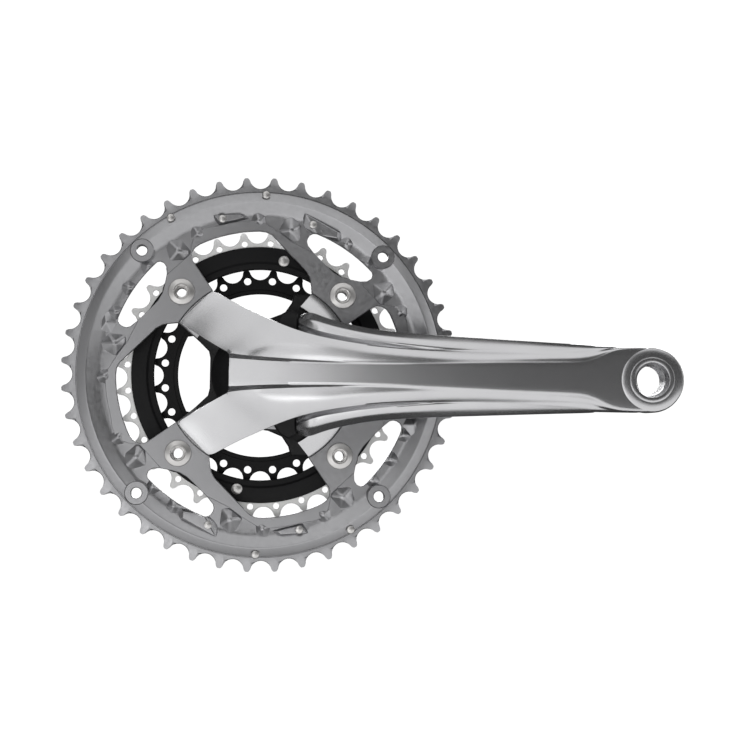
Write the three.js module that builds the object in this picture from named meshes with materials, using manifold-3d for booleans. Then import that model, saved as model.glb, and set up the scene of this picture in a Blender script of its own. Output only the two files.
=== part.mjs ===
// Mountain-bike crankset, drive side: a forged arm with a four-arm spider on a hollow steel axle,
// three chainrings, and the external-cup bottom bracket that the axle turns in.
//
// Everything is modelled face on: x along the arm, y up, z outboard from the bicycle's middle plane.
// The last lines turn the whole group so that the crank axis is the Y axis, outboard is -Y and +Z is up.
import * as THREE from 'three';
import { mergeVertices } from 'three/addons/utils/BufferGeometryUtils.js';
import Module from 'manifold-3d';

const wasm = await Module();
wasm.setup();

const GAP = 0.3;                      // clearance between pieces that touch
const DEG = Math.PI / 180;
const BOLT_SIDES = 14;                // facets of a bolt and of the hole that it passes through
const TURNED_SIDES = 24;              // facets of the pieces turned about the crank axis

// ---- Driving dimensions, in millimetres ----------------------------------------------------------
const CRANK_LENGTH = 175;             // crank axis to pedal axis
const CHAINLINE = 50;                 // middle plane to the middle ring's teeth
const EYE_OUTSET = 37.5;              // middle ring's teeth to the pedal eye's outer face
const HALF_TREAD = CHAINLINE + EYE_OUTSET;
const RING_PITCH = 8;                 // from one ring's teeth to the next
const CHAIN_PITCH = 12.7;
const ROLLER_SEAT = 4;                // radius of the seat that a chain roller lies in
const SEAT_HALF_ANGLE = 76 * DEG;     // how far the seat wraps round the roller, each way
const OUTER_TEETH = 44;
const MIDDLE_TEETH = 32;
const INNER_TEETH = 24;
const TOOTH_THICKNESS = 2;
const BOLT_CIRCLE = 104;              // outer and middle rings
const INNER_BOLT_CIRCLE = 64;         // inner ring

const OUTER_PLATE = 3;                // outer ring's thickness at its tabs
const SPIDER_END = 4;                 // spider's thickness under the outer ring's tabs
const CARRIER_THICKNESS = 4.1;        // middle ring's composite carrier
const TAB_ARC_RADIUS = BOLT_CIRCLE / 2 - 8; // inner edge of the outer ring's tabs
const TAB_HALF_ANGLE = 14.2 * DEG;    // half of a tab's width, seen from the crank axis
const RIM_WIDTH = 1.5;                // flat rim between the tooth gaps and the ridge's outer foot
const RIM_STEP_DROP = 0.2;            // outer foot below the tabs' faces
const RIDGE_OUTER_WIDTH = 4.5;        // from the outer foot in to the crest
const RIDGE_INNER_WIDTH = 6;          // from the crest in to the inner foot
const RIDGE_HEIGHT = 1.7;             // crest above the tabs' faces
const SLOT_INSET = 15.5;              // tooth gaps to the outer edges of the slots
const RIB_INSET = 19.5;               // tooth gaps to the ring's inner opening
const TAB_WIDTH = 13.5;               // tab from its inner arc out to the slot
const BOSS_INSET = 7.3;               // tooth gaps to the circle of the four bosses
const BOSS_RADIUS = 5.4;
const BOSS_HOLE_RADIUS = 2.4;

const AXLE_RADIUS = 12;
const AXLE_WALL = 2.2;
const AXLE_BORE_RADIUS = AXLE_RADIUS - AXLE_WALL;
const AXLE_LEFT_LENGTH = 69;          // middle plane to the axle's splined end
const SPLINE_LENGTH = 23;
const SPLINE_DEPTH = 0.9;
const SPLINE_COUNT = 14;
const HUB_RADIUS = AXLE_RADIUS + 10.5;
const HUB_FRONT = CHAINLINE + 25;     // middle plane to the arm's outer face at the crank axis
const AXLE_SEAT = 22;                 // length of axle pressed into the hub
const EYE_RADIUS = 14.8;
const EYE_THICKNESS = 14;
const EYE_HOLE_RADIUS = 6.5;          // minor radius of the 9/16 inch pedal thread
const EYE_RIM_RADIUS = 10.1;          // raised seat around the pedal hole
const EYE_RIM_HEIGHT = 0.3;
const ARM_THICKNESS = 15;
const ARM_CHAMFER = 3.5;

const SHELL_WIDTH = 73;               // frame's bottom bracket shell
const SPACER_THICKNESS = 2.5;         // on the drive side only
const BALL_RADIUS = 1.75;
const BALL_CIRCLE_RADIUS = AXLE_RADIUS + 3.75;
const BALL_COUNT = 10;
const RACE_GAP = 1.25;                // from the ball circle to the land of each race
const OUTER_GROOVE = 2.15;            // from the ball circle out to the outer race's groove
const INNER_GROOVE = 2.1;             // from the ball circle in to the inner race's groove
const GROOVE_HALF_WIDTH = 1.9;
const CAGE_HALF_WIDTH = 0.5;
const CAGE_HALF_HEIGHT = 0.7;
const BEARING_RADIUS = BALL_CIRCLE_RADIUS + 2.75;
const BEARING_WIDTH = 6.3;
const CUP_RADIUS = BEARING_RADIUS + 3.5;
const CUP_FLANGE = 8.2;               // width of the cup outside the shell
const CUP_BARREL = 14;                // length of the cup's threaded barrel
const THREAD_RADIUS = BEARING_RADIUS - 1.2;
const BARREL_BORE_RADIUS = THREAD_RADIUS - 2.3;
const NOTCH_COUNT = 12;               // wrench notches round a cup
const NOTCH_RADIUS = 2.4;
const NOTCH_START = 1.5;              // from the shell face to the notches
const BUSH_WALL = 0.5;                // plastic bush between the inner race and the axle
const BUSH_LIP_RADIUS = BEARING_RADIUS - 1;
const DUST_TUBE_INNER = AXLE_RADIUS + 0.9;
const DUST_TUBE_OUTER = DUST_TUBE_INNER + 0.7;
const DUST_TUBE_OVERLAP = 10;         // how far the dust tube reaches into each cup's barrel

const SLEEVE_RADIUS = 5;              // sleeve nut of a chainring bolt
const BOLT_SHANK_RADIUS = 4;
const BOLT_HEAD_RADIUS = 6;
const BOLT_HEAD_HEIGHT = 1.5;
const BOLT_BORE_RADIUS = 2.2;
const SOCKET_RADIUS = 3.05;
const SOCKET_DEPTH = 2.5;
const NUT_FLANGE_RADIUS = 6.6;
const NUT_FLANGE_HEIGHT = 1.3;
const INNER_SHANK_RADIUS = 3.9;       // bolts of the inner ring
const INNER_BOLT_LENGTH = 10.5;
const INNER_HEAD_HEIGHT = 1.2;
const INNER_LUG_RADIUS = 7;
const PIN_SHANK_RADIUS = 1.25;        // steel rivets that lift the chain
const PIN_HEAD_RADIUS = 1.9;
const PIN_HEAD_HEIGHT = 0.7;
const PIN_NOSE_RADIUS = 2.1;
const PIN_NOSE_HEIGHT = 1.6;
const MIDDLE_PIN_HEAD_RADIUS = 2.5;
const DROP_PIN_CLEARANCE = 0.9;       // chain drop pin's tip to the back of the arm
const MIDDLE_PIN_ANGLES = [79.5 * DEG, 259.5 * DEG];

const OUTER_FIRST_GAP = 1.2 * DEG;    // where each ring's teeth or holes start, from the arm's line
const MIDDLE_FIRST_HOLE = 8 * DEG;
const INNER_FIRST_GAP = 1.2 * DEG;
const INNER_FIRST_HOLE = 8.7 * DEG;
const OUTER_TIP = 1.3;                // tips above the pitch circle
const MIDDLE_TIP = 1.2;
const INNER_TIP = 1.1;
const MIDDLE_HOLE_RADIUS = 1.4;
const INNER_HOLE_RADIUS = 1.7;
const CARRIER_LUG_RADIUS = 8.6;
const INNER_OPENING_RADIUS = 38;
const SPIDER_END_RADIUS = 8.8;        // rounded end of a spider arm
const SPIDER_NECK = 9;                // half-widths of the spider's arms beside and behind the crank arm
const SPIDER_LEFT_NECK = 8;
const SLOPE_START = -14.5;            // left end of the arm's outer face

function pitchRadius(teeth) {
  return CHAIN_PITCH / 2 / Math.sin(Math.PI / teeth);
}

// ---- Places that follow from them ----------------------------------------------------------------
const outerZ = CHAINLINE + RING_PITCH;
const middleZ = CHAINLINE;
const innerZ = CHAINLINE - RING_PITCH;
const boltRadius = BOLT_CIRCLE / 2;
const innerBoltRadius = INNER_BOLT_CIRCLE / 2;
const carrierFront = middleZ + CARRIER_THICKNESS / 2;
const carrierBack = carrierFront - CARRIER_THICKNESS;
const spiderBack = carrierFront + GAP;
const spiderEndFront = spiderBack + SPIDER_END;
const outerBack = spiderEndFront + GAP;
const outerFront = outerBack + OUTER_PLATE;
const ridgeFront = outerFront + RIDGE_HEIGHT;
const outerRoot = pitchRadius(OUTER_TEETH) - ROLLER_SEAT;
const rimStepRadius = outerRoot - RIM_WIDTH;
const ridgeRadius = rimStepRadius - RIDGE_OUTER_WIDTH;
const ridgeFootRadius = ridgeRadius - RIDGE_INNER_WIDTH;
const bossCircleRadius = outerRoot - BOSS_INSET;
const rightFaceZ = SHELL_WIDTH / 2 + SPACER_THICKNESS;
const leftFaceZ = SHELL_WIDTH / 2;
const pocketFloor = 0.9;              // cup's wall between the shell face and the bearing
const bearingStart = pocketFloor + GAP;
const bearingEnd = bearingStart + BEARING_WIDTH;
const lipStart = CUP_FLANGE + GAP;    // bush's lip, just outside the cup
const lipEnd = lipStart + BUSH_WALL;
const hubBack = rightFaceZ + lipEnd + GAP;
const axleRightEnd = hubBack + AXLE_SEAT;
const bushInner = AXLE_RADIUS + GAP;
const bushOuter = bushInner + BUSH_WALL;
const sleeveHole = SLEEVE_RADIUS + GAP;
const bandInnerRadius = boltRadius + sleeveHole + 0.5;
const carrierOuterRadius = bandInnerRadius + 1.3;
const carrierInnerRadius = boltRadius - 3.3;
const middlePinRadius = boltRadius + 1.6;
const innerHeadFront = innerZ - TOOTH_THICKNESS / 2 - GAP;
const innerBoltTip = innerHeadFront + INNER_BOLT_LENGTH;
const eyeStart = CRANK_LENGTH - 20;
const dropPinRadius = outerRoot - 4.6;
const SHIFT_PINS = [                  // radius and angle from an arm's line, on two opposite quadrants
  [outerRoot - 3, -13.9 * DEG],
  [outerRoot - 12, -30 * DEG],
  [outerRoot - 3, -45.6 * DEG],
  [outerRoot - 12.4, -63.1 * DEG],
];
const SPIDER_ANGLES = [45, 135, 225, 315].map((a) => a * DEG);

// ---- Finishes ------------------------------------------------------------------------------------
function metal(color, roughness) {
  return new THREE.MeshStandardMaterial({ color, roughness, metalness: 0.9 });
}
function plastic(color, roughness) {
  return new THREE.MeshStandardMaterial({ color, roughness, metalness: 0 });
}
const polishedAlloy = () => metal(0xc4c6c8, 0.28);
const ringAlloy = () => metal(0x96989a, 0.45);
const toothSteel = () => metal(0xb4b6b8, 0.4);
const blackSteel = () => metal(0x1c1c1e, 0.5);
const brightSteel = () => metal(0xd2d2d0, 0.25);
const blackAlloy = () => metal(0x232325, 0.45);
const composite = () => plastic(0x19191a, 0.55);
const rubber = () => plastic(0x121212, 0.8);

// ---- Solids --------------------------------------------------------------------------------------
function polar(radius, angle) {
  return new THREE.Vector2(radius * Math.cos(angle), radius * Math.sin(angle));
}

// Points of a round arc about (cx, cy), both ends included.
function arc(cx, cy, radius, from, to, steps) {
  const points = [];
  for (let i = 0; i <= steps; i += 1) {
    const p = polar(radius, from + ((to - from) * i) / steps);
    points.push(new THREE.Vector2(cx + p.x, cy + p.y));
  }
  return points;
}

function circle(cx, cy, radius, steps) {
  return arc(cx, cy, radius, 0, 2 * Math.PI * (1 - 1 / steps), steps - 1);
}

// Closed, outward-facing manifold of a three.js geometry.
function solid(geometry) {
  const bare = geometry.index ? geometry.toNonIndexed() : geometry.clone();
  bare.deleteAttribute('normal');
  bare.deleteAttribute('uv');
  const merged = mergeVertices(bare, 1e-4);
  const corner = merged.index.array;
  const triangles = [];
  for (let i = 0; i < corner.length; i += 3) {
    const [a, b, c] = [corner[i], corner[i + 1], corner[i + 2]];
    if (a !== b && b !== c && c !== a) triangles.push(a, b, c);
  }
  const build = (list) => new wasm.Manifold(new wasm.Mesh({
    numProp: 3,
    vertProperties: new Float32Array(merged.attributes.position.array),
    triVerts: new Uint32Array(list),
  }));
  const shape = build(triangles);
  return shape.volume() > 0 ? shape : build(triangles.reverse());
}

// Flat outline with holes, between two heights.
function plate(points, holes, z0, z1) {
  const shape = new THREE.Shape(points);
  shape.holes = holes.map((hole) => new THREE.Path(hole));
  const geometry = new THREE.ExtrudeGeometry(shape, { depth: z1 - z0, bevelEnabled: false });
  return solid(geometry.translate(0, 0, z0));
}

// Ring or disc turned about the crank axis from a closed outline of [radius, z] pairs.
function turned(profile, segments) {
  const points = profile.map(([r, z]) => new THREE.Vector2(r, z));
  points.push(points[0].clone());
  return solid(new THREE.LatheGeometry(points, segments).rotateX(Math.PI / 2));
}

function rod(x, y, radius, z0, z1, segments) {
  const geometry = new THREE.CylinderGeometry(radius, radius, z1 - z0, segments);
  return solid(geometry.rotateX(Math.PI / 2).translate(x, y, (z0 + z1) / 2));
}

function joined(solids) {
  return solids.reduce((whole, next) => whole.add(next));
}

function cut(whole, tools) {
  return tools.reduce((rest, tool) => rest.subtract(tool), whole);
}

const crankset = new THREE.Group();

function add(name, shape, material, turn = 0) {
  const found = shape.getMesh();
  const geometry = new THREE.BufferGeometry();
  geometry.setAttribute('position', new THREE.BufferAttribute(found.vertProperties, 3));
  geometry.setIndex(new THREE.BufferAttribute(found.triVerts, 1));
  geometry.computeVertexNormals();
  const mesh = new THREE.Mesh(geometry, material);
  mesh.name = name;
  mesh.rotation.z = turn;
  crankset.add(mesh);
}

// ---- Chainrings ----------------------------------------------------------------------------------
// Toothed outline: a round roller seat in every gap, joined by low truncated teeth.
function toothedOutline(teeth, firstGap, tipHeight) {
  const step = (2 * Math.PI) / teeth;
  const pitch = pitchRadius(teeth);
  const tipHalfAngle = 1.25 / pitch;
  const points = [];
  for (let k = 0; k < teeth; k += 1) {
    const angle = firstGap + k * step;
    const seat = polar(pitch, angle);
    const inward = angle - Math.PI;
    points.push(...arc(seat.x, seat.y, ROLLER_SEAT, inward + SEAT_HALF_ANGLE, inward - SEAT_HALF_ANGLE, 3));
    const tooth = angle + step / 2;
    points.push(polar(pitch + tipHeight, tooth - tipHalfAngle));
    points.push(polar(pitch + tipHeight, tooth + tipHalfAngle));
  }
  return points;
}

// Inner opening of the outer ring: a tab at each spider arm, a diagonal rib, then a round stretch.
function outerRingOpening() {
  const rib = outerRoot - RIB_INSET;
  const points = [];
  for (const bolt of SPIDER_ANGLES) {
    points.push(...arc(0, 0, TAB_ARC_RADIUS, bolt - TAB_HALF_ANGLE, bolt + TAB_HALF_ANGLE, 5));
    points.push(polar(TAB_ARC_RADIUS + 6, bolt + 19.7 * DEG));
    points.push(polar(rib - 1.4, bolt + 42 * DEG));
    points.push(...arc(0, 0, rib, bolt + 46.5 * DEG, bolt + 71 * DEG, 4));
    points.push(polar(rib - 2, bolt + 75.6 * DEG));
    points.push(polar(rib - 5, bolt + 76.8 * DEG));
  }
  return points;
}

// Slanted window between a tab and the toothed rim.
function outerRingWindow(bolt) {
  const outside = outerRoot - SLOT_INSET;
  const inside = TAB_ARC_RADIUS + TAB_WIDTH;
  return [
    ...arc(0, 0, outside, bolt - 1.5 * DEG, bolt + 24.5 * DEG, 6),
    polar(outside - 1.7, bolt + 26.4 * DEG),
    polar(outside - 4.3, bolt + 26.9 * DEG),
    polar(inside + 5.5, bolt + 26 * DEG),
    polar(inside + 0.9, bolt + 15.8 * DEG),
    polar(inside, bolt + 9.9 * DEG),
    polar(inside + 1.4, bolt + 4.8 * DEG),
    polar(inside + 5.9, bolt - 1.5 * DEG),
    polar(outside - 2.3, bolt - 2.8 * DEG),
  ];
}

function shiftPinPlaces() {
  const places = [];
  for (const arm of [135 * DEG, 315 * DEG]) {
    for (const [radius, offset] of SHIFT_PINS) places.push(polar(radius, arm + offset));
  }
  return places;
}

// Highest point of the outer ring's face under a pin's head.
function ringFaceUnder(radius, headRadius) {
  if (radius > ridgeRadius) {
    const share = Math.max(0, radius - headRadius - ridgeRadius) / (rimStepRadius - ridgeRadius);
    return THREE.MathUtils.lerp(ridgeFront, outerFront - RIM_STEP_DROP, share);
  }
  const share = Math.max(0, radius + headRadius - ridgeFootRadius) / (ridgeRadius - ridgeFootRadius);
  return THREE.MathUtils.lerp(outerFront, ridgeFront, share);
}

function outerRing() {
  const half = TOOTH_THICKNESS / 2;
  const boltHoles = SPIDER_ANGLES.map((a) => polar(boltRadius, a))
    .map((p) => circle(p.x, p.y, sleeveHole, BOLT_SIDES));
  const holes = [outerRingOpening(), ...SPIDER_ANGLES.map(outerRingWindow), ...boltHoles];
  const outline = toothedOutline(OUTER_TEETH, OUTER_FIRST_GAP, OUTER_TIP);
  const blank = plate(outline, holes, outerBack - 2, ridgeFront + 2);
  const envelope = turned([
    [30, outerBack],
    [ridgeRadius - 4, outerBack],
    [rimStepRadius - 0.5, outerZ - half],
    [outerRoot + 10, outerZ - half],
    [outerRoot + 10, outerZ + half],
    [rimStepRadius, outerZ + half],
    [rimStepRadius, outerFront - RIM_STEP_DROP],
    [ridgeRadius, ridgeFront],
    [ridgeFootRadius, outerFront],
    [30, outerFront],
  ], 44);
  const bosses = SPIDER_ANGLES.map((a) => polar(bossCircleRadius, a));
  const pads = bosses.map((p) => rod(p.x, p.y, BOSS_RADIUS, outerBack + 1, ridgeFront + 0.3, 16));
  const screwHoles = bosses.map((p) => rod(p.x, p.y, BOSS_HOLE_RADIUS, outerBack - 3, ridgeFront + 3, 10));
  const pinHoles = [...shiftPinPlaces(), polar(dropPinRadius, 0)]
    .map((p) => rod(p.x, p.y, PIN_SHANK_RADIUS + GAP, outerBack - 3, ridgeFront + 3, 6));
  return cut(joined([blank.intersect(envelope), ...pads]), [...screwHoles, ...pinHoles]);
}

function middleBand() {
  const step = (2 * Math.PI) / MIDDLE_TEETH;
  const holes = [circle(0, 0, bandInnerRadius, 40)];
  for (let k = 0; k < MIDDLE_TEETH; k += 1) {
    const p = polar(pitchRadius(MIDDLE_TEETH) - ROLLER_SEAT, MIDDLE_FIRST_HOLE + k * step);
    holes.push(circle(p.x, p.y, MIDDLE_HOLE_RADIUS, 6));
  }
  const outline = toothedOutline(MIDDLE_TEETH, MIDDLE_FIRST_HOLE - step / 2, MIDDLE_TIP);
  return plate(outline, holes, middleZ - TOOTH_THICKNESS / 2, middleZ + TOOTH_THICKNESS / 2);
}

function middleCarrier() {
  const slotHalf = TOOTH_THICKNESS / 2 + GAP;
  const ring = turned([
    [carrierInnerRadius, carrierBack],
    [carrierOuterRadius, carrierBack],
    [carrierOuterRadius, middleZ - slotHalf],
    [bandInnerRadius - GAP, middleZ - slotHalf],
    [bandInnerRadius - GAP, middleZ + slotHalf],
    [carrierOuterRadius, middleZ + slotHalf],
    [carrierOuterRadius, carrierFront],
    [carrierInnerRadius, carrierFront],
  ], 40);
  const bolts = SPIDER_ANGLES.map((a) => polar(boltRadius, a));
  const reach = bandInnerRadius - GAP - 0.1;
  const lugs = bolts.map((p) => rod(p.x, p.y, CARRIER_LUG_RADIUS, carrierBack, carrierFront, 14));
  const inside = rod(0, 0, reach, carrierBack - 1, carrierFront + 1, 40);
  const whole = joined([ring, ...lugs.map((lug) => lug.intersect(inside))]);
  const boltHoles = bolts
    .map((p) => rod(p.x, p.y, sleeveHole, carrierBack - 1, carrierFront + 1, BOLT_SIDES));
  const pinHoles = MIDDLE_PIN_ANGLES.map((a) => polar(middlePinRadius, a))
    .map((p) => rod(p.x, p.y, PIN_SHANK_RADIUS + GAP, carrierBack - 1, carrierFront + 1, 6));
  return cut(whole, [...boltHoles, ...pinHoles]);
}

function innerRing() {
  const z0 = innerZ - TOOTH_THICKNESS / 2;
  const z1 = innerZ + TOOTH_THICKNESS / 2;
  const step = (2 * Math.PI) / INNER_TEETH;
  const holes = [circle(0, 0, INNER_OPENING_RADIUS, 36)];
  for (let k = 0; k < INNER_TEETH; k += 1) {
    const p = polar(pitchRadius(INNER_TEETH) - ROLLER_SEAT - 0.4, INNER_FIRST_HOLE + k * step);
    holes.push(circle(p.x, p.y, INNER_HOLE_RADIUS, 6));
  }
  const ring = plate(toothedOutline(INNER_TEETH, INNER_FIRST_GAP, INNER_TIP), holes, z0, z1);
  const lugs = SPIDER_ANGLES.map((a) => {
    const lug = arc(innerBoltRadius, 0, INNER_LUG_RADIUS + 0.5, 90 * DEG, 270 * DEG, 6);
    const reach = INNER_OPENING_RADIUS + 1;
    lug.push(polar(reach, -15 * DEG), polar(reach, 0), polar(reach, 15 * DEG));
    return plate(lug, [], z0, z1).rotate([0, 0, a / DEG]);
  });
  const drills = SPIDER_ANGLES.map((a) => polar(innerBoltRadius, a))
    .map((p) => rod(p.x, p.y, INNER_SHANK_RADIUS + GAP, z0 - 1, z1 + 1, BOLT_SIDES));
  return cut(joined([ring, ...lugs]), drills);
}

// ---- Arm and spider ------------------------------------------------------------------------------
// Slab of an outline whose outer and inner faces slope evenly with x, with all edges chamfered.
function slab(points, front, back) {
  const share = ARM_CHAMFER / ARM_THICKNESS;
  const geometry = new THREE.ExtrudeGeometry(new THREE.Shape(points), {
    depth: 1 - 2 * share,
    bevelEnabled: true,
    bevelThickness: share,
    bevelSize: ARM_CHAMFER,
    bevelOffset: -ARM_CHAMFER,
    bevelSegments: 1,
  });
  geometry.translate(0, 0, share);
  const place = geometry.attributes.position;
  for (let i = 0; i < place.count; i += 1) {
    const x = place.getX(i);
    place.setZ(i, THREE.MathUtils.lerp(back(x), front(x), place.getZ(i)));
  }
  return solid(geometry);
}

function armFront(x) {
  const share = (x - SLOPE_START) / (eyeStart - SLOPE_START);
  return THREE.MathUtils.lerp(HUB_FRONT, HALF_TREAD - EYE_RIM_HEIGHT, share);
}

function armBack(x) {
  const share = (x - SLOPE_START) / (eyeStart - SLOPE_START);
  return armFront(x) - THREE.MathUtils.lerp(ARM_THICKNESS, EYE_THICKNESS, share);
}

// Upper edge of the arm as shares of its length and half-heights; the lower edge mirrors it.
function armOutline() {
  const edge = [
    [SLOPE_START, 9],
    [0, 18],
    [CRANK_LENGTH * 0.11, 24],
    [CRANK_LENGTH * 0.17, 23.8],
    [CRANK_LENGTH * 0.24, 21.8],
    [CRANK_LENGTH * 0.32, 19.8],
    [CRANK_LENGTH * 0.45, 18],
    [CRANK_LENGTH * 0.62, 16.6],
    [CRANK_LENGTH * 0.8, 15.4],
    [eyeStart + 8, EYE_RADIUS],
  ];
  const upper = edge.map(([x, y]) => new THREE.Vector2(x, y));
  const lower = edge.map(([x, y]) => new THREE.Vector2(x, -y));
  return [...lower, ...upper.reverse()];
}

function eye() {
  const face = HALF_TREAD - EYE_RIM_HEIGHT;
  const outline = [
    new THREE.Vector2(eyeStart - 10, EYE_RADIUS + 0.4),
    new THREE.Vector2(eyeStart - 10, -EYE_RADIUS - 0.4),
    ...arc(CRANK_LENGTH, 0, EYE_RADIUS, -90 * DEG, 90 * DEG, 10),
  ];
  const body = slab(outline, () => face, () => face - EYE_THICKNESS);
  return body.add(rod(CRANK_LENGTH, 0, EYE_RIM_RADIUS, HALF_TREAD - 3, HALF_TREAD, 24));
}

// Half-outline of one spider arm, from the hub out to the rounded end under the ring's tab.
function spiderArmOutline(neck) {
  const shoulder = TAB_ARC_RADIUS * Math.sin(TAB_HALF_ANGLE);
  const side = [
    [0, neck],
    [TAB_ARC_RADIUS - 14, neck],
    [TAB_ARC_RADIUS - 1.5, shoulder],
    [boltRadius - 2, shoulder - 0.6],
  ];
  return [
    ...side.map(([x, y]) => new THREE.Vector2(x, -y)),
    ...arc(boltRadius, 0, SPIDER_END_RADIUS, -60 * DEG, 60 * DEG, 6),
    ...side.reverse().map(([x, y]) => new THREE.Vector2(x, y)),
  ];
}

// Leaning band that runs from a left-hand spider arm's end into the arm's root.
function leaningBand(side) {
  const edge = [
    [-22.6, 38.2],
    [0, 25.8],
    [22, 18],
    [10, 0],
    [-12, 8.2],
    [-37.8, 22.9],
  ];
  const points = edge.map(([x, y]) => new THREE.Vector2(x, side * y));
  return plate(side > 0 ? points.reverse() : points, [], spiderBack, HUB_FRONT + 5);
}

function spider() {
  const arms = SPIDER_ANGLES.map((a, k) => {
    const left = k === 1 || k === 2;
    const outline = spiderArmOutline(left ? SPIDER_LEFT_NECK : SPIDER_NECK);
    return plate(outline, [], hubBack, HUB_FRONT + 5).rotate([0, 0, a / DEG]);
  });
  const hub = rod(0, 0, HUB_RADIUS, hubBack, HUB_FRONT, 28);
  const star = joined([...arms, leaningBand(1), leaningBand(-1), hub]);
  const envelope = turned([
    [0, hubBack],
    [HUB_RADIUS, hubBack],
    [HUB_RADIUS + 2, spiderBack],
    [boltRadius + 18, spiderBack],
    [boltRadius + 18, spiderEndFront],
    [TAB_ARC_RADIUS - GAP - 0.2, spiderEndFront],
    [TAB_ARC_RADIUS - GAP - 0.2, outerFront],
    [TAB_ARC_RADIUS - 6, outerFront + 1.3],
    [TAB_ARC_RADIUS - 14, outerFront + 5],
    [TAB_ARC_RADIUS - 24, outerFront + 11.5],
    [0, HUB_FRONT - 1.2],
  ], 28);
  const lugs = SPIDER_ANGLES.map((a) => polar(innerBoltRadius, a))
    .map((p) => rod(p.x, p.y, INNER_LUG_RADIUS, innerZ + TOOTH_THICKNESS / 2 + GAP, spiderBack + 2, 14));
  return joined([star.intersect(envelope), ...lugs]);
}

function crankArm() {
  const whole = joined([slab(armOutline(), armFront, armBack), eye(), spider()]);
  const eyeChamfer = turned([
    [0, HALF_TREAD - 1.4],
    [EYE_HOLE_RADIUS, HALF_TREAD - 1.4],
    [EYE_HOLE_RADIUS + 1.4, HALF_TREAD],
    [EYE_HOLE_RADIUS + 1.4, HALF_TREAD + 1],
    [0, HALF_TREAD + 1],
  ], 24).translate([CRANK_LENGTH, 0, 0]);
  const holes = [
    rod(0, 0, AXLE_RADIUS + GAP, hubBack - 5, axleRightEnd + GAP, TURNED_SIDES),
    rod(CRANK_LENGTH, 0, EYE_HOLE_RADIUS, HALF_TREAD - 30, HALF_TREAD + 5, 24),
    eyeChamfer,
  ];
  for (const a of SPIDER_ANGLES) {
    const bolt = polar(boltRadius, a);
    const innerBolt = polar(innerBoltRadius, a);
    holes.push(rod(bolt.x, bolt.y, sleeveHole, spiderBack - 5, outerFront + 5, BOLT_SIDES));
    const drill = INNER_SHANK_RADIUS + GAP;
    holes.push(rod(innerBolt.x, innerBolt.y, drill, innerZ, innerBoltTip + GAP, BOLT_SIDES));
  }
  return cut(whole, holes);
}

// ---- Fasteners -----------------------------------------------------------------------------------
function chainringBolt() {
  const seat = outerFront + GAP;
  const top = seat + BOLT_HEAD_HEIGHT;
  const tip = carrierBack + 1;
  return turned([
    [BOLT_BORE_RADIUS, tip],
    [BOLT_SHANK_RADIUS, tip],
    [BOLT_SHANK_RADIUS, seat],
    [BOLT_HEAD_RADIUS, seat],
    [BOLT_HEAD_RADIUS, top - 0.4],
    [BOLT_HEAD_RADIUS - 0.4, top],
    [SOCKET_RADIUS, top],
    [SOCKET_RADIUS, seat - SOCKET_DEPTH],
    [BOLT_BORE_RADIUS, seat - SOCKET_DEPTH],
  ], BOLT_SIDES);
}

function sleeveNut() {
  const seat = carrierBack - GAP;
  const bore = BOLT_SHANK_RADIUS + GAP;
  return turned([
    [bore, seat - NUT_FLANGE_HEIGHT],
    [NUT_FLANGE_RADIUS, seat - NUT_FLANGE_HEIGHT],
    [NUT_FLANGE_RADIUS, seat],
    [SLEEVE_RADIUS, seat],
    [SLEEVE_RADIUS, outerFront - 1],
    [bore, outerFront - 1],
  ], BOLT_SIDES);
}

function innerRingBolt() {
  const top = innerHeadFront - INNER_HEAD_HEIGHT;
  return turned([
    [0, innerBoltTip],
    [INNER_SHANK_RADIUS, innerBoltTip],
    [INNER_SHANK_RADIUS, innerHeadFront],
    [BOLT_HEAD_RADIUS, innerHeadFront],
    [BOLT_HEAD_RADIUS, top],
    [SOCKET_RADIUS - 0.55, top],
    [SOCKET_RADIUS - 0.55, innerHeadFront + SOCKET_DEPTH],
    [0, innerHeadFront + SOCKET_DEPTH],
  ], BOLT_SIDES);
}

// Steel rivet: a low head outboard, a shank, and a stepped nose on the inboard side that lifts the chain.
function shiftPin(headSeat, headRadius, backFace) {
  const under = headSeat + GAP;
  const nose = backFace - GAP;
  return turned([
    [0, under + PIN_HEAD_HEIGHT],
    [headRadius, under + PIN_HEAD_HEIGHT - 0.2],
    [headRadius, under],
    [PIN_SHANK_RADIUS, under],
    [PIN_SHANK_RADIUS, nose],
    [PIN_NOSE_RADIUS, nose],
    [PIN_NOSE_RADIUS, nose - PIN_NOSE_HEIGHT + 0.2],
    [0, nose - PIN_NOSE_HEIGHT],
  ], 8);
}

function chainDropPin() {
  const tip = armBack(dropPinRadius - PIN_HEAD_RADIUS) - DROP_PIN_CLEARANCE;
  return turned([
    [0, tip],
    [PIN_HEAD_RADIUS, tip - 0.4],
    [PIN_HEAD_RADIUS, ridgeFront + GAP],
    [PIN_SHANK_RADIUS, ridgeFront + GAP],
    [PIN_SHANK_RADIUS, outerZ - 3],
    [0, outerZ - 3],
  ], 8);
}

// ---- Axle and bottom bracket ---------------------------------------------------------------------
function axle() {
  const splineStart = -AXLE_LEFT_LENGTH + SPLINE_LENGTH;
  const tube = turned([
    [AXLE_BORE_RADIUS, -AXLE_LEFT_LENGTH],
    [AXLE_RADIUS, -AXLE_LEFT_LENGTH],
    [AXLE_RADIUS, axleRightEnd],
    [AXLE_BORE_RADIUS, axleRightEnd],
  ], TURNED_SIDES);
  const grooves = [];
  for (let k = 0; k < SPLINE_COUNT; k += 1) {
    const p = polar(AXLE_RADIUS, (k * 2 * Math.PI) / SPLINE_COUNT);
    grooves.push(rod(p.x, p.y, SPLINE_DEPTH, -AXLE_LEFT_LENGTH - 1, splineStart, 6));
  }
  return cut(tube, grooves);
}

// A side's pieces are turned about the axis at distances s outward from the face that the cup seats on.
function onSide(profile, side, face, segments) {
  return turned(profile.map(([r, s]) => [r, side * (face + s)]), segments);
}

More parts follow.
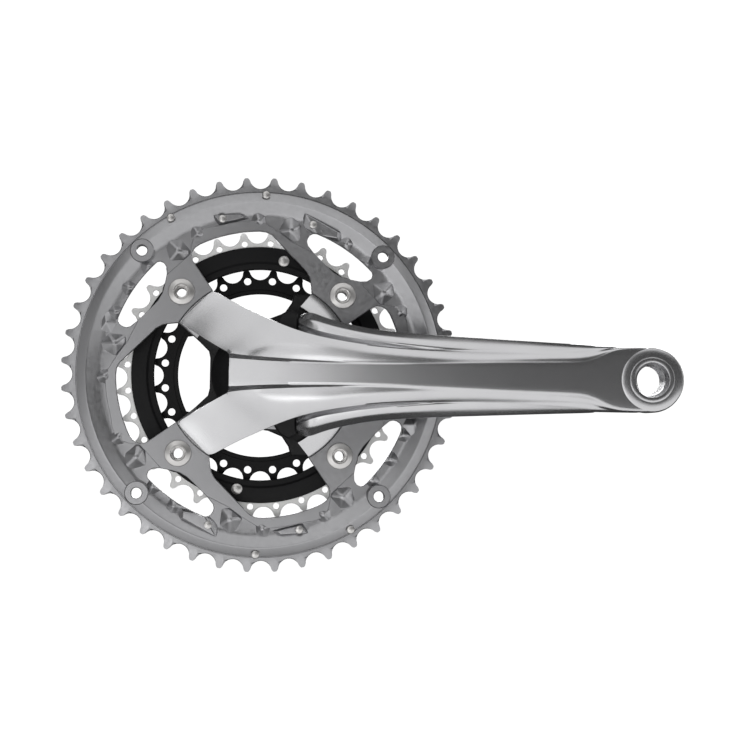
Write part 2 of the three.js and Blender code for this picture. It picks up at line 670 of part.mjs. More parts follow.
function cup(side, face) {
  const pocket = BEARING_RADIUS + GAP;
  const body = onSide([
    [BARREL_BORE_RADIUS, -CUP_BARREL],
    [THREAD_RADIUS, -CUP_BARREL],
    [THREAD_RADIUS, 0],
    [CUP_RADIUS, 0],
    [CUP_RADIUS, CUP_FLANGE],
    [pocket, CUP_FLANGE],
    [pocket, pocketFloor],
    [BARREL_BORE_RADIUS, pocketFloor],
  ], side, face, TURNED_SIDES);
  const notches = [];
  const low = Math.min(side * (face + NOTCH_START), side * (face + CUP_FLANGE + 1));
  const high = Math.max(side * (face + NOTCH_START), side * (face + CUP_FLANGE + 1));
  for (let k = 0; k < NOTCH_COUNT; k += 1) {
    const p = polar(CUP_RADIUS + 0.9, ((k + 0.5) * 2 * Math.PI) / NOTCH_COUNT);
    notches.push(rod(p.x, p.y, NOTCH_RADIUS, low, high, 6));
  }
  return cut(body, notches);
}

function outerRace(side, face) {
  const middle = (bearingStart + bearingEnd) / 2;
  const land = BALL_CIRCLE_RADIUS + RACE_GAP;
  return onSide([
    [BEARING_RADIUS, bearingStart],
    [BEARING_RADIUS, bearingEnd],
    [land, bearingEnd],
    [land, middle + GROOVE_HALF_WIDTH],
    [BALL_CIRCLE_RADIUS + OUTER_GROOVE, middle],
    [land, middle - GROOVE_HALF_WIDTH],
    [land, bearingStart],
  ], side, face, TURNED_SIDES);
}

function innerRace(side, face) {
  const middle = (bearingStart + bearingEnd) / 2;
  const bore = bushOuter + GAP;
  const land = BALL_CIRCLE_RADIUS - RACE_GAP;
  return onSide([
    [bore, bearingStart],
    [bore, bearingEnd],
    [land, bearingEnd],
    [land, middle + GROOVE_HALF_WIDTH],
    [BALL_CIRCLE_RADIUS - INNER_GROOVE, middle],
    [land, middle - GROOVE_HALF_WIDTH],
    [land, bearingStart],
  ], side, face, TURNED_SIDES);
}

// Ball set: the balls are held a fixed distance apart by the ring of their cage.
function ballCage(side, face) {
  const z = side * (face + (bearingStart + bearingEnd) / 2);
  const ring = turned([
    [BALL_CIRCLE_RADIUS - CAGE_HALF_WIDTH, z - CAGE_HALF_HEIGHT],
    [BALL_CIRCLE_RADIUS + CAGE_HALF_WIDTH, z - CAGE_HALF_HEIGHT],
    [BALL_CIRCLE_RADIUS + CAGE_HALF_WIDTH, z + CAGE_HALF_HEIGHT],
    [BALL_CIRCLE_RADIUS - CAGE_HALF_WIDTH, z + CAGE_HALF_HEIGHT],
  ], 20);
  const balls = [];
  for (let k = 0; k < BALL_COUNT; k += 1) {
    const p = polar(BALL_CIRCLE_RADIUS, (k * 2 * Math.PI) / BALL_COUNT);
    balls.push(solid(new THREE.OctahedronGeometry(BALL_RADIUS, 1).translate(p.x, p.y, z)));
  }
  return joined([ring, ...balls]);
}

function bearingSeal(side, face) {
  return onSide([
    [bushOuter + GAP, bearingEnd + GAP],
    [BEARING_RADIUS, bearingEnd + GAP],
    [BEARING_RADIUS, CUP_FLANGE - 0.1],
    [bushOuter + GAP, CUP_FLANGE - 0.1],
  ], side, face, TURNED_SIDES);
}

function bush(side, face) {
  return onSide([
    [bushInner, bearingStart],
    [bushOuter, bearingStart],
    [bushOuter, lipStart],
    [BUSH_LIP_RADIUS, lipStart],
    [BUSH_LIP_RADIUS, lipEnd],
    [bushInner, lipEnd],
  ], side, face, TURNED_SIDES);
}

function dustTube() {
  const right = rightFaceZ - CUP_BARREL + DUST_TUBE_OVERLAP;
  const left = -(leftFaceZ - CUP_BARREL + DUST_TUBE_OVERLAP);
  return turned([
    [DUST_TUBE_INNER, left],
    [DUST_TUBE_OUTER, left],
    [DUST_TUBE_OUTER, right],
    [DUST_TUBE_INNER, right],
  ], TURNED_SIDES);
}

function oRing(side, face) {
  const radius = (DUST_TUBE_OUTER + BARREL_BORE_RADIUS) / 2;
  const thickness = (BARREL_BORE_RADIUS - DUST_TUBE_OUTER) / 2 - GAP;
  const z = side * (face - CUP_BARREL + DUST_TUBE_OVERLAP / 2);
  return solid(new THREE.TorusGeometry(radius, thickness, 4, TURNED_SIDES).translate(0, 0, z));
}

function spacer() {
  return turned([
    [THREAD_RADIUS + GAP, SHELL_WIDTH / 2],
    [CUP_RADIUS, SHELL_WIDTH / 2],
    [CUP_RADIUS, rightFaceZ - GAP],
    [THREAD_RADIUS + GAP, rightFaceZ - GAP],
  ], TURNED_SIDES);
}

// ---- Assembly ------------------------------------------------------------------------------------
add('right_crank_arm', crankArm(), polishedAlloy());
add('axle', axle(), brightSteel());
add('outer_chainring', outerRing(), ringAlloy());
add('middle_chainring_teeth', middleBand(), toothSteel());
add('middle_chainring_carrier', middleCarrier(), composite());
add('inner_chainring', innerRing(), blackSteel());

SPIDER_ANGLES.forEach((angle, k) => {
  const place = polar(boltRadius, angle);
  const innerPlace = polar(innerBoltRadius, angle);
  add(`chainring_bolt_${k + 1}`, chainringBolt().translate([place.x, place.y, 0]), brightSteel());
  add(`chainring_nut_${k + 1}`, sleeveNut().translate([place.x, place.y, 0]), brightSteel());
  add(`inner_ring_bolt_${k + 1}`, innerRingBolt().translate([innerPlace.x, innerPlace.y, 0]), blackSteel());
});

shiftPinPlaces().forEach((place, k) => {
  const back = place.length() > ridgeRadius ? outerZ - TOOTH_THICKNESS / 2 - 0.5 : outerBack;
  const pin = shiftPin(ringFaceUnder(place.length(), PIN_HEAD_RADIUS), PIN_HEAD_RADIUS, back);
  add(`shift_pin_${k + 1}`, pin.translate([place.x, place.y, 0]), brightSteel());
});

MIDDLE_PIN_ANGLES.forEach((angle, k) => {
  const place = polar(middlePinRadius, angle);
  const pin = shiftPin(carrierFront, MIDDLE_PIN_HEAD_RADIUS, carrierBack);
  add(`middle_ring_pin_${k + 1}`, pin.translate([place.x, place.y, 0]), brightSteel());
});

add('chain_drop_pin', chainDropPin().translate([dropPinRadius, 0, 0]), brightSteel());

for (const [name, side, face] of [['right', 1, rightFaceZ], ['left', -1, leftFaceZ]]) {
  add(`${name}_cup`, cup(side, face), blackAlloy());
  add(`${name}_outer_race`, outerRace(side, face), brightSteel());
  add(`${name}_inner_race`, innerRace(side, face), brightSteel());
  add(`${name}_ball_cage`, ballCage(side, face), brightSteel());
  add(`${name}_bearing_seal`, bearingSeal(side, face), rubber());
  add(`${name}_bush`, bush(side, face), composite());
  add(`${name}_o_ring`, oRing(side, face), rubber());
}
add('dust_tube', dustTube(), composite());
add('cup_spacer', spacer(), composite());

crankset.rotation.x = Math.PI / 2;

export default crankset;
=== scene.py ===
"""Looks of a mountain-bike crankset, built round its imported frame.

Shapes are made face on in millimetres: x along the arm, y up, z outboard from the bicycle's middle plane.
``deliver`` turns each one into the frame's metres, where outboard is -Y and up is +Z.
"""

import logging
import math
from dataclasses import dataclass
from enum import Enum
from typing import Sequence

import bmesh
import bpy
from bmesh.types import BMEdge, BMesh, BMFace, BMLayerItem, BMVert
from mathutils import Matrix, Quaternion, Vector

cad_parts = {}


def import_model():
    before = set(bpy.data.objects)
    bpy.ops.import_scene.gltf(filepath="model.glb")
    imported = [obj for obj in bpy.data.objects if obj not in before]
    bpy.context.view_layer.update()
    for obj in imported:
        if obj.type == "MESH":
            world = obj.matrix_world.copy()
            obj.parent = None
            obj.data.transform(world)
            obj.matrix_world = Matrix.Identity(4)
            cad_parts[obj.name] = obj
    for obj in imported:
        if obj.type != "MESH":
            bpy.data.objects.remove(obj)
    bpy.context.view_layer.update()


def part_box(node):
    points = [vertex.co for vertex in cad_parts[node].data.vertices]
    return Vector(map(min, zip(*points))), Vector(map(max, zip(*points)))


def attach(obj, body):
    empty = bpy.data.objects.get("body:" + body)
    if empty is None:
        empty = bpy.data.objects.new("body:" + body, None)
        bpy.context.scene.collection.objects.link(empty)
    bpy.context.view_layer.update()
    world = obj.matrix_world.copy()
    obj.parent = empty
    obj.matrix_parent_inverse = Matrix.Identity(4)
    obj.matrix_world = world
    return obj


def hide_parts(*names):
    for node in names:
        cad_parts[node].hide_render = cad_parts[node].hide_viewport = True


Point = tuple[float, float]
Colour = tuple[float, float, float]

LOG = logging.getLogger("crankset")
MILLIMETRE = 0.001
FACE_ON = Matrix.Scale(MILLIMETRE, 4) @ Matrix.Rotation(math.pi / 2, 4, "X")

ARM_ANGLES = (45, 135, 225, 315)  # the spider's arms, in degrees
BOLT_RADIUS = 52  # crank axis to the outer rings' bolts
BOLT_HOLE = 5.3
INNER_BOLT_RADIUS = 32  # crank axis to the inner ring's bolts
INNER_BOLT_HOLE = 4.2
CHAIN_PITCH = 12.7
ROLLER_SEAT = 4.0  # pitch circle down to the bottom of a tooth gap
SEAT_RADIUS = 4.9
SEAT_HALF_ANGLE = 77  # how far a tooth gap's round seat wraps, each way
TIP_HALF_WIDTH = 0.85
TOOTH_HALF = 1.0  # half of a tooth's thickness
OUTER_Z, MIDDLE_Z, INNER_Z = 58.0, 50.0, 42.0  # middle of each ring's teeth
OUTER_BACK, OUTER_FRONT = 56.65, 59.65
CARRIER_BACK, CARRIER_FRONT = 47.95, 52.05
SPIDER_BACK, SPIDER_FRONT = 52.35, 56.35
HUB_BACK = 48.3
RIGHT_FACE, LEFT_FACE = 39.0, 36.5  # inner faces of the cups' flanges
CRANK_LENGTH = 175.0
AXLE_RADIUS = 12.0
BALL_CIRCLE = 15.75
BALL_RADIUS = 1.75


# ---- Outlines ------------------------------------------------------------------------------------
def polar(radius: float, degrees: float) -> Point:
    """Point at a radius and an angle from the arm's line."""
    return radius * math.cos(math.radians(degrees)), radius * math.sin(math.radians(degrees))


def arc(centre: Point, radius: float, start: float, end: float, steps: int) -> list[Point]:
    """Points of a round arc, both ends included.

    Args:
        centre: Middle of the arc.
        radius: Its radius.
        start: First angle, in degrees.
        end: Last angle, in degrees.
        steps: Number of equal steps.

    Returns:
        The points in order.
    """
    points = []
    for step in range(steps + 1):
        x, y = polar(radius, start + (end - start) * step / steps)
        points.append((centre[0] + x, centre[1] + y))
    return points


def circle(centre: Point, radius: float, steps: int) -> list[Point]:
    """Points of a whole circle, counter-clockwise."""
    return arc(centre, radius, 0, 360 * (1 - 1 / steps), steps - 1)


def offset(outline: Sequence[Point], distance: float) -> list[Point]:
    """Outline moved outwards by a distance, with mitred corners.

    Args:
        outline: Counter-clockwise points.
        distance: How far outwards; negative moves inwards.

    Returns:
        As many points as the outline has.
    """
    moved = []
    count = len(outline)
    for index in range(count):
        before, here, after = (Vector(outline[k % count]) for k in (index - 1, index, index + 1))
        first, second = (here - before).normalized(), (after - here).normalized()
        side = Vector((first.y, -first.x))
        middle = side + Vector((second.y, -second.x))
        middle = middle.normalized() if middle.length > 1e-6 else side
        reach = min(1 / max(middle.dot(side), 0.3), 1.8)
        moved.append(tuple(here + middle * distance * reach))
    return moved


@dataclass(frozen=True)
class Rail:
    """Smooth curve through a few key points, read off by its first number."""

    keys: tuple[Point, ...]

    def slope(self, index: int) -> float:
        """Slope at a key point, from its neighbours."""
        low, high = self.keys[max(index - 1, 0)], self.keys[min(index + 1, len(self.keys) - 1)]
        return (high[1] - low[1]) / (high[0] - low[0])

    def at(self, x: float) -> float:
        """Value at x, held level past both ends.

        Args:
            x: Where to read the curve.

        Returns:
            Its second number there.
        """
        keys = self.keys
        if x <= keys[0][0]:
            return keys[0][1]
        if x >= keys[-1][0]:
            return keys[-1][1]
        last = next(k for k in range(1, len(keys)) if x <= keys[k][0])
        (x0, y0), (x1, y1) = keys[last - 1], keys[last]
        span = x1 - x0
        t = (x - x0) / span
        rise = (2 * t**3 - 3 * t**2 + 1) * y0 + (3 * t**2 - 2 * t**3) * y1
        lean = (t**3 - 2 * t**2 + t) * self.slope(last - 1) + (t**3 - t**2) * self.slope(last)
        return rise + span * lean


# ---- Solids --------------------------------------------------------------------------------------
class Boolean(Enum):
    """How two solids are put together."""

    FUSE = "UNION"
    CARVE = "DIFFERENCE"
    KEEP = "INTERSECT"


class Solver(Enum):
    """Method that joins two solids: one is fast, the other leaves untouched faces as they are."""

    FAST = "MANIFOLD"
    CAREFUL = "EXACT"


def outward(bm: BMesh) -> BMesh:
    """Points all faces of a closed shape outwards.

    Args:
        bm: Closed shape to change.

    Returns:
        The same shape.
    """
    bmesh.ops.recalc_face_normals(bm, faces=bm.faces)
    if bm.calc_volume(signed=True) < 0:
        bmesh.ops.reverse_faces(bm, faces=bm.faces)
    return bm


def turned(profile: Sequence[Point], steps: int = 96, centre: Point = (0, 0)) -> BMesh:
    """Solid spun about an axis that points outboard.

    Args:
        profile: Closed outline of (radius, height) points.
        steps: Facets round the axis.
        centre: Where the axis stands.

    Returns:
        The closed solid.
    """
    bm = bmesh.new()
    verts = [bm.verts.new((radius, 0, height)) for radius, height in profile]
    pairs = zip(verts, verts[1:] + verts[:1])
    edges = [bm.edges.new(pair) for pair in pairs if max(pair[0].co.x, pair[1].co.x) > 1e-6]
    bmesh.ops.spin(
        bm, geom=verts + edges, cent=(0, 0, 0), axis=(0, 0, 1), angle=math.tau, steps=steps, use_merge=True
    )
    bmesh.ops.remove_doubles(bm, verts=bm.verts, dist=1e-4)
    bmesh.ops.translate(bm, verts=bm.verts, vec=(*centre, 0))
    return outward(bm)


def prism(levels: Sequence[tuple[Sequence[Point], float]]) -> BMesh:
    """Solid that rises through outlines, each with as many points as the last.

    Args:
        levels: Pairs of an outline and its height, from the lowest up.

    Returns:
        The closed solid.
    """
    bm = bmesh.new()
    place = bm.verts.layers.int.new("place")
    outline, height = levels[0]
    ring = [bm.verts.new((x, y, height)) for x, y in outline]
    for index, vert in enumerate(ring):
        vert[place] = index
    face = bm.faces.new(ring)
    for step, (outline, height) in enumerate(levels[1:]):
        found = bmesh.ops.extrude_face_region(bm, geom=[face])["geom"]
        if step:
            bmesh.ops.delete(bm, geom=[face], context="FACES_ONLY")
        face = next(item for item in found if isinstance(item, BMFace))
        for vert in face.verts:
            vert.co = (*outline[vert[place]], height)
    return outward(bm)


def slab(outline: Sequence[Point], back: float, front: float, chamfer: float = 0.0) -> BMesh:
    """Flat plate with both rims chamfered.

    Args:
        outline: Counter-clockwise points of the plate.
        back: Height of its back face.
        front: Height of its front face.
        chamfer: Size of both rims' chamfers.

    Returns:
        The closed plate.
    """
    if not chamfer:
        return prism([(outline, back), (outline, front)])
    small = offset(outline, -chamfer)
    return prism(
        [(small, back), (outline, back + chamfer), (outline, front - chamfer), (small, front)]
    )


def cutter(outline: Sequence[Point], back: float, front: float, flare: float) -> BMesh:
    """Tool for an opening whose rims are chamfered at the plate's two faces.

    Args:
        outline: The opening, counter-clockwise.
        back: Height of the plate's back face.
        front: Height of its front face.
        flare: Size of the chamfer.

    Returns:
        The closed tool, longer than the plate is thick.
    """
    wide = offset(outline, flare)
    return prism(
        [
            (wide, back - 6),
            (wide, back),
            (outline, back + flare),
            (outline, front - flare),
            (wide, front),
            (wide, front + 8),
        ]
    )


def hull(points: Sequence[tuple[float, float, float]]) -> BMesh:
    """Smallest convex solid round a few points.

    Args:
        points: Points to wrap.

    Returns:
        The closed solid.
    """
    bm = bmesh.new()
    for point in points:
        bm.verts.new(point)
    made = bmesh.ops.convex_hull(bm, input=bm.verts)
    spare = [item for item in made["geom_interior"] if isinstance(item, BMVert)]
    bmesh.ops.delete(bm, geom=spare, context="VERTS")
    return outward(bm)


def soften(bm: BMesh, width: float, segments: int = 2, angle: float = 20) -> BMesh:
    """Rounds the edges that turn by more than an angle.

    Args:
        bm: Solid to change.
        width: Width of the rounding.
        segments: Facets across it.
        angle: Least turn of an edge, in degrees.

    Returns:
        The same solid.
    """
    limit = math.radians(angle)
    edges = [edge for edge in bm.edges if edge.is_manifold and edge.calc_face_angle(0) > limit]
    bmesh.ops.bevel(
        bm,
        geom=edges,
        offset=width,
        offset_type="OFFSET",
        segments=segments,
        profile=0.5,
        affect="EDGES",
        clamp_overlap=True,
        material=-1,
    )
    return bm


def gather(solids: Sequence[BMesh]) -> BMesh:
    """One mesh of several solids that don't touch each other.

    Args:
        solids: The solids, which are used up.

    Returns:
        The mesh that holds them all.
    """
    whole = bmesh.new()
    for solid in solids:
        mesh = bpy.data.meshes.new("part")
        solid.to_mesh(mesh)
        solid.free()
        whole.from_mesh(mesh)
        bpy.data.meshes.remove(mesh)
    return whole


def combine(body: BMesh, tools: Sequence[BMesh], how: Boolean, solver: Solver = Solver.FAST) -> BMesh:
    """Fuses solids with a body, carves them out of it, or keeps what they share.

    Args:
        body: The solid to start from.
        tools: The solids to apply in turn.
        how: What is done with each.
        solver: The method.

    Returns:
        The new solid.
    """
    blanks = []
    for solid in (body, *tools):
        mesh = bpy.data.meshes.new("blank")
        solid.to_mesh(mesh)
        solid.free()
        blank = bpy.data.objects.new("blank", mesh)
        bpy.context.scene.collection.objects.link(blank)
        blanks.append(blank)
    for tool in blanks[1:]:
        step = blanks[0].modifiers.new("join", "BOOLEAN")
        step.operation = how.value
        step.solver = solver.value
        step.object = tool
    bpy.context.view_layer.update()
    made = bmesh.new()
    made.from_object(blanks[0], bpy.context.evaluated_depsgraph_get())
    for blank in blanks:
        mesh = blank.data
        bpy.data.objects.remove(blank)
        bpy.data.meshes.remove(mesh)
    bmesh.ops.remove_doubles(made, verts=made.verts, dist=2e-4)
    bmesh.ops.dissolve_degenerate(made, dist=2e-4, edges=made.edges)
    loose = sum(not edge.is_manifold for edge in made.edges)
    if loose:
        LOG.warning("a joined solid has %d open edges", loose)
    return made


def refined(bm: BMesh, levels: int) -> BMesh:
    """Subdivides a control mesh into its smooth surface, with its creases kept.

    Args:
        bm: Control mesh.
        levels: Number of subdivisions.

    Returns:
        The fine mesh.
    """
    mesh = bpy.data.meshes.new("cage")
    bm.to_mesh(mesh)
    bm.free()
    cage = bpy.data.objects.new("cage", mesh)
    bpy.context.scene.collection.objects.link(cage)
    smooth = cage.modifiers.new("smooth", "SUBSURF")
    smooth.levels = smooth.render_levels = levels
    smooth.boundary_smooth = "PRESERVE_CORNERS"
    bpy.context.view_layer.update()
    fine = bmesh.new()
    fine.from_object(cage, bpy.context.evaluated_depsgraph_get())
    bpy.data.objects.remove(cage)
    bpy.data.meshes.remove(mesh)
    return fine


# ---- Finishes ------------------------------------------------------------------------------------
class Slot(Enum):
    """Material slots that the record names."""

    ARM_ALLOY = "arm_alloy"
    RING_ALLOY = "ring_alloy"
    TOOTH_STEEL = "tooth_steel"
    BRIGHT_STEEL = "bright_steel"
    BLACK_STEEL = "black_steel"
    # Black alloy of the cups; on the arm's hub, webs and spider roots this black is painted shade.
    BLACK_ALLOY = "black_alloy"
    COMPOSITE = "composite"
    RUBBER = "rubber"


@dataclass(frozen=True)
class Finish:
    """Surface of one material: its colour, gloss, grain in millimetres, and wear."""

    slot: Slot
    name: str
    colour: Colour
    worn: Colour
    metallic: float
    roughness: float
    roughness_spread: float
    grain_size: float
    grain_depth: float
    stretch: tuple[float, float, float] = (1.0, 1.0, 1.0)
    shine: float = 0.5

    def material(self) -> bpy.types.Material:
        """Makes the node material.

        Returns:
            A material that reads Object coordinates only.
        """
        made = bpy.data.materials.new(self.name)
        made.use_nodes = True
        tree = made.node_tree
        shader = tree.nodes["Principled BSDF"]
        shader.inputs["Metallic"].default_value = self.metallic
        shader.inputs["Specular IOR Level"].default_value = self.shine
        place = tree.nodes.new("ShaderNodeTexCoord")

        def noise(size: float, detail: float, stretched: bool) -> bpy.types.Node:
            """Noise texture with cells of a size in millimetres.

            Args:
                size: Size of a cell.
                detail: Number of finer layers.
                stretched: Whether the finish's stretch applies.

            Returns:
                The texture node.
            """
            turn = tree.nodes.new("ShaderNodeMapping")
            scale = self.stretch if stretched else (1.0, 1.0, 1.0)
            turn.inputs["Scale"].default_value = scale
            tree.links.new(place.outputs["Object"], turn.inputs["Vector"])
            texture = tree.nodes.new("ShaderNodeTexNoise")
            texture.inputs["Scale"].default_value = 1 / (size * MILLIMETRE)
            texture.inputs["Detail"].default_value = detail
            tree.links.new(turn.outputs["Vector"], texture.inputs["Vector"])
            return texture

        cloud = noise(14, 3, False)
        mix = tree.nodes.new("ShaderNodeMix")
        mix.data_type = "RGBA"
        mix.inputs["A"].default_value = (*self.colour, 1)
        mix.inputs["B"].default_value = (*self.worn, 1)
        tree.links.new(cloud.outputs["Fac"], mix.inputs["Factor"])
        tree.links.new(mix.outputs["Result"], shader.inputs["Base Color"])
        streak = noise(self.grain_size * 5, 4, True)
        gloss = tree.nodes.new("ShaderNodeMapRange")
        gloss.inputs["From Min"].default_value = 0.3
        gloss.inputs["From Max"].default_value = 0.7
        gloss.inputs["To Min"].default_value = self.roughness - self.roughness_spread
        gloss.inputs["To Max"].default_value = self.roughness + self.roughness_spread
        tree.links.new(streak.outputs["Fac"], gloss.inputs["Value"])
        tree.links.new(gloss.outputs["Result"], shader.inputs["Roughness"])
        grain = noise(self.grain_size, 2, True)
        bump = tree.nodes.new("ShaderNodeBump")
        bump.inputs["Strength"].default_value = 0.5
        bump.inputs["Distance"].default_value = self.grain_depth * MILLIMETRE
        tree.links.new(grain.outputs["Fac"], bump.inputs["Height"])
        tree.links.new(bump.outputs["Normal"], shader.inputs["Normal"])
        return made


FINISHES = (
    Finish(
        Slot.ARM_ALLOY,
        "polished arm",
        colour=(0.58, 0.58, 0.59),
        worn=(0.52, 0.52, 0.53),
        metallic=1.0,
        roughness=0.25,
        roughness_spread=0.008,
        grain_size=0.12,
        grain_depth=0.0004,
        stretch=(0.15, 1.0, 1.0),
    ),
    Finish(
        Slot.RING_ALLOY,
        "blasted ring",
        colour=(0.40, 0.40, 0.41),
        worn=(0.35, 0.35, 0.36),
        metallic=1.0,
        roughness=0.35,
        roughness_spread=0.05,
        grain_size=0.3,
        grain_depth=0.03,
    ),
    Finish(
        Slot.TOOTH_STEEL,
        "plated teeth",
        colour=(0.88, 0.88, 0.87),
        worn=(0.8, 0.8, 0.79),
        metallic=0.25,
        roughness=0.42,
        roughness_spread=0.05,
        grain_size=0.3,
        grain_depth=0.02,
    ),
    Finish(
        Slot.BRIGHT_STEEL,
        "bright steel",
        colour=(0.62, 0.61, 0.6),
        worn=(0.55, 0.54, 0.53),
        metallic=0.9,
        roughness=0.34,
        roughness_spread=0.04,
        grain_size=0.3,
        grain_depth=0.01,
    ),
    Finish(
        Slot.BLACK_STEEL,
        "blacked steel",
        colour=(0.005, 0.005, 0.0055),
        worn=(0.008, 0.008, 0.0085),
        metallic=0.0,
        roughness=0.42,
        roughness_spread=0.06,
        grain_size=0.25,
        grain_depth=0.02,
        shine=0.2,
    ),
    # Black of the cups, also used as painted shade on the arm's hub, webs and spider roots.
    Finish(
        Slot.BLACK_ALLOY,
        "black cup and painted shade",
        colour=(0.006, 0.006, 0.0065),
        worn=(0.01, 0.01, 0.0105),
        metallic=0.0,
        roughness=0.35,
        roughness_spread=0.06,
        grain_size=0.3,
        grain_depth=0.02,
        shine=0.35,
    ),
    Finish(
        Slot.COMPOSITE,
        "moulded carrier",
        colour=(0.004, 0.004, 0.0045),
        worn=(0.007, 0.007, 0.0075),
        metallic=0.0,
        roughness=0.5,
        roughness_spread=0.06,
        grain_size=0.35,
        grain_depth=0.05,
        shine=0.2,
    ),
    Finish(
        Slot.RUBBER,
        "seal rubber",
        colour=(0.012, 0.012, 0.012),
        worn=(0.018, 0.018, 0.018),
        metallic=0.0,
        roughness=0.72,
        roughness_spread=0.06,
        grain_size=0.4,
        grain_depth=0.04,
    ),
)


class PaintShop:
    """Makes each finish once and hands it out."""

    def __init__(self) -> None:
        """Makes all materials."""
        self.materials = {finish.slot: finish.material() for finish in FINISHES}

    def coat(self, piece: bpy.types.Object, slot: Slot) -> None:
        """Gives a piece one finish.

        Args:
            piece: The piece.
            slot: Its slot in the record.
        """
        piece.data.materials.clear()
        piece.data.materials.append(self.materials[slot])


def deliver(
    bm: BMesh, name: str, slot: Slot, body: str, nodes: Sequence[str], shop: PaintShop, crease: float = 30
) -> bpy.types.Object:
    """Turns a finished shape into a piece of the frame.

    Args:
        bm: The shape, face on in millimetres.
        name: Name of the piece.
        slot: Its finish.
        body: The body that it rides on.
        nodes: The frame's nodes that it stands for.
        shop: Where the finish comes from.
        crease: Edges that turn by more than this many degrees stay sharp.

    Returns:
        The piece.
    """
    bmesh.ops.transform(bm, matrix=FACE_ON, verts=bm.verts)
    mesh = bpy.data.meshes.new(name)
    bm.to_mesh(mesh)
    bm.free()
    mesh.shade_smooth()
    mesh.set_sharp_from_angle(angle=math.radians(crease))
    piece = bpy.data.objects.new(name, mesh)
    bpy.context.scene.collection.objects.link(piece)
    if slot is not Slot.ARM_ALLOY:
        even = piece.modifiers.new("even shading", "WEIGHTED_NORMAL")
        even.keep_sharp = True
    shop.coat(piece, slot)
    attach(piece, body)
    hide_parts(*nodes)
    LOG.info("%s: %d faces", name, len(mesh.polygons))
    return piece


# ---- Chainrings ----------------------------------------------------------------------------------
def pitch_radius(teeth: int) -> float:
    """Radius of the circle through the chain's rollers."""
    return CHAIN_PITCH / 2 / math.sin(math.pi / teeth)


def toothed(teeth: int, first_gap: float, tip: float) -> list[Point]:
    """Outline of a chainring: round roller seats between low teeth with blunt tips.

    Args:
        teeth: Number of teeth.
        first_gap: Angle of one gap, in degrees.
        tip: Height of the tips over the pitch circle.

    Returns:
        Counter-clockwise points.
    """
    pitch = pitch_radius(teeth)
    step = 360 / teeth
    root = pitch - ROLLER_SEAT
    half_tip = math.degrees(TIP_HALF_WIDTH / pitch)
    outline = []
    for gap in range(teeth):
        angle = first_gap + gap * step
        seat = polar(root + SEAT_RADIUS, angle)
        outline += arc(seat, SEAT_RADIUS, angle - 180 + SEAT_HALF_ANGLE, angle - 180 - SEAT_HALF_ANGLE, 10)
        middle = angle + step / 2
        for rise, side in ((0.5, -1.45), (0.98, -0.8), (1, 0), (0.98, 0.8), (0.5, 1.45)):
            outline.append(polar(pitch + tip * rise, middle + half_tip * side))
    return outline


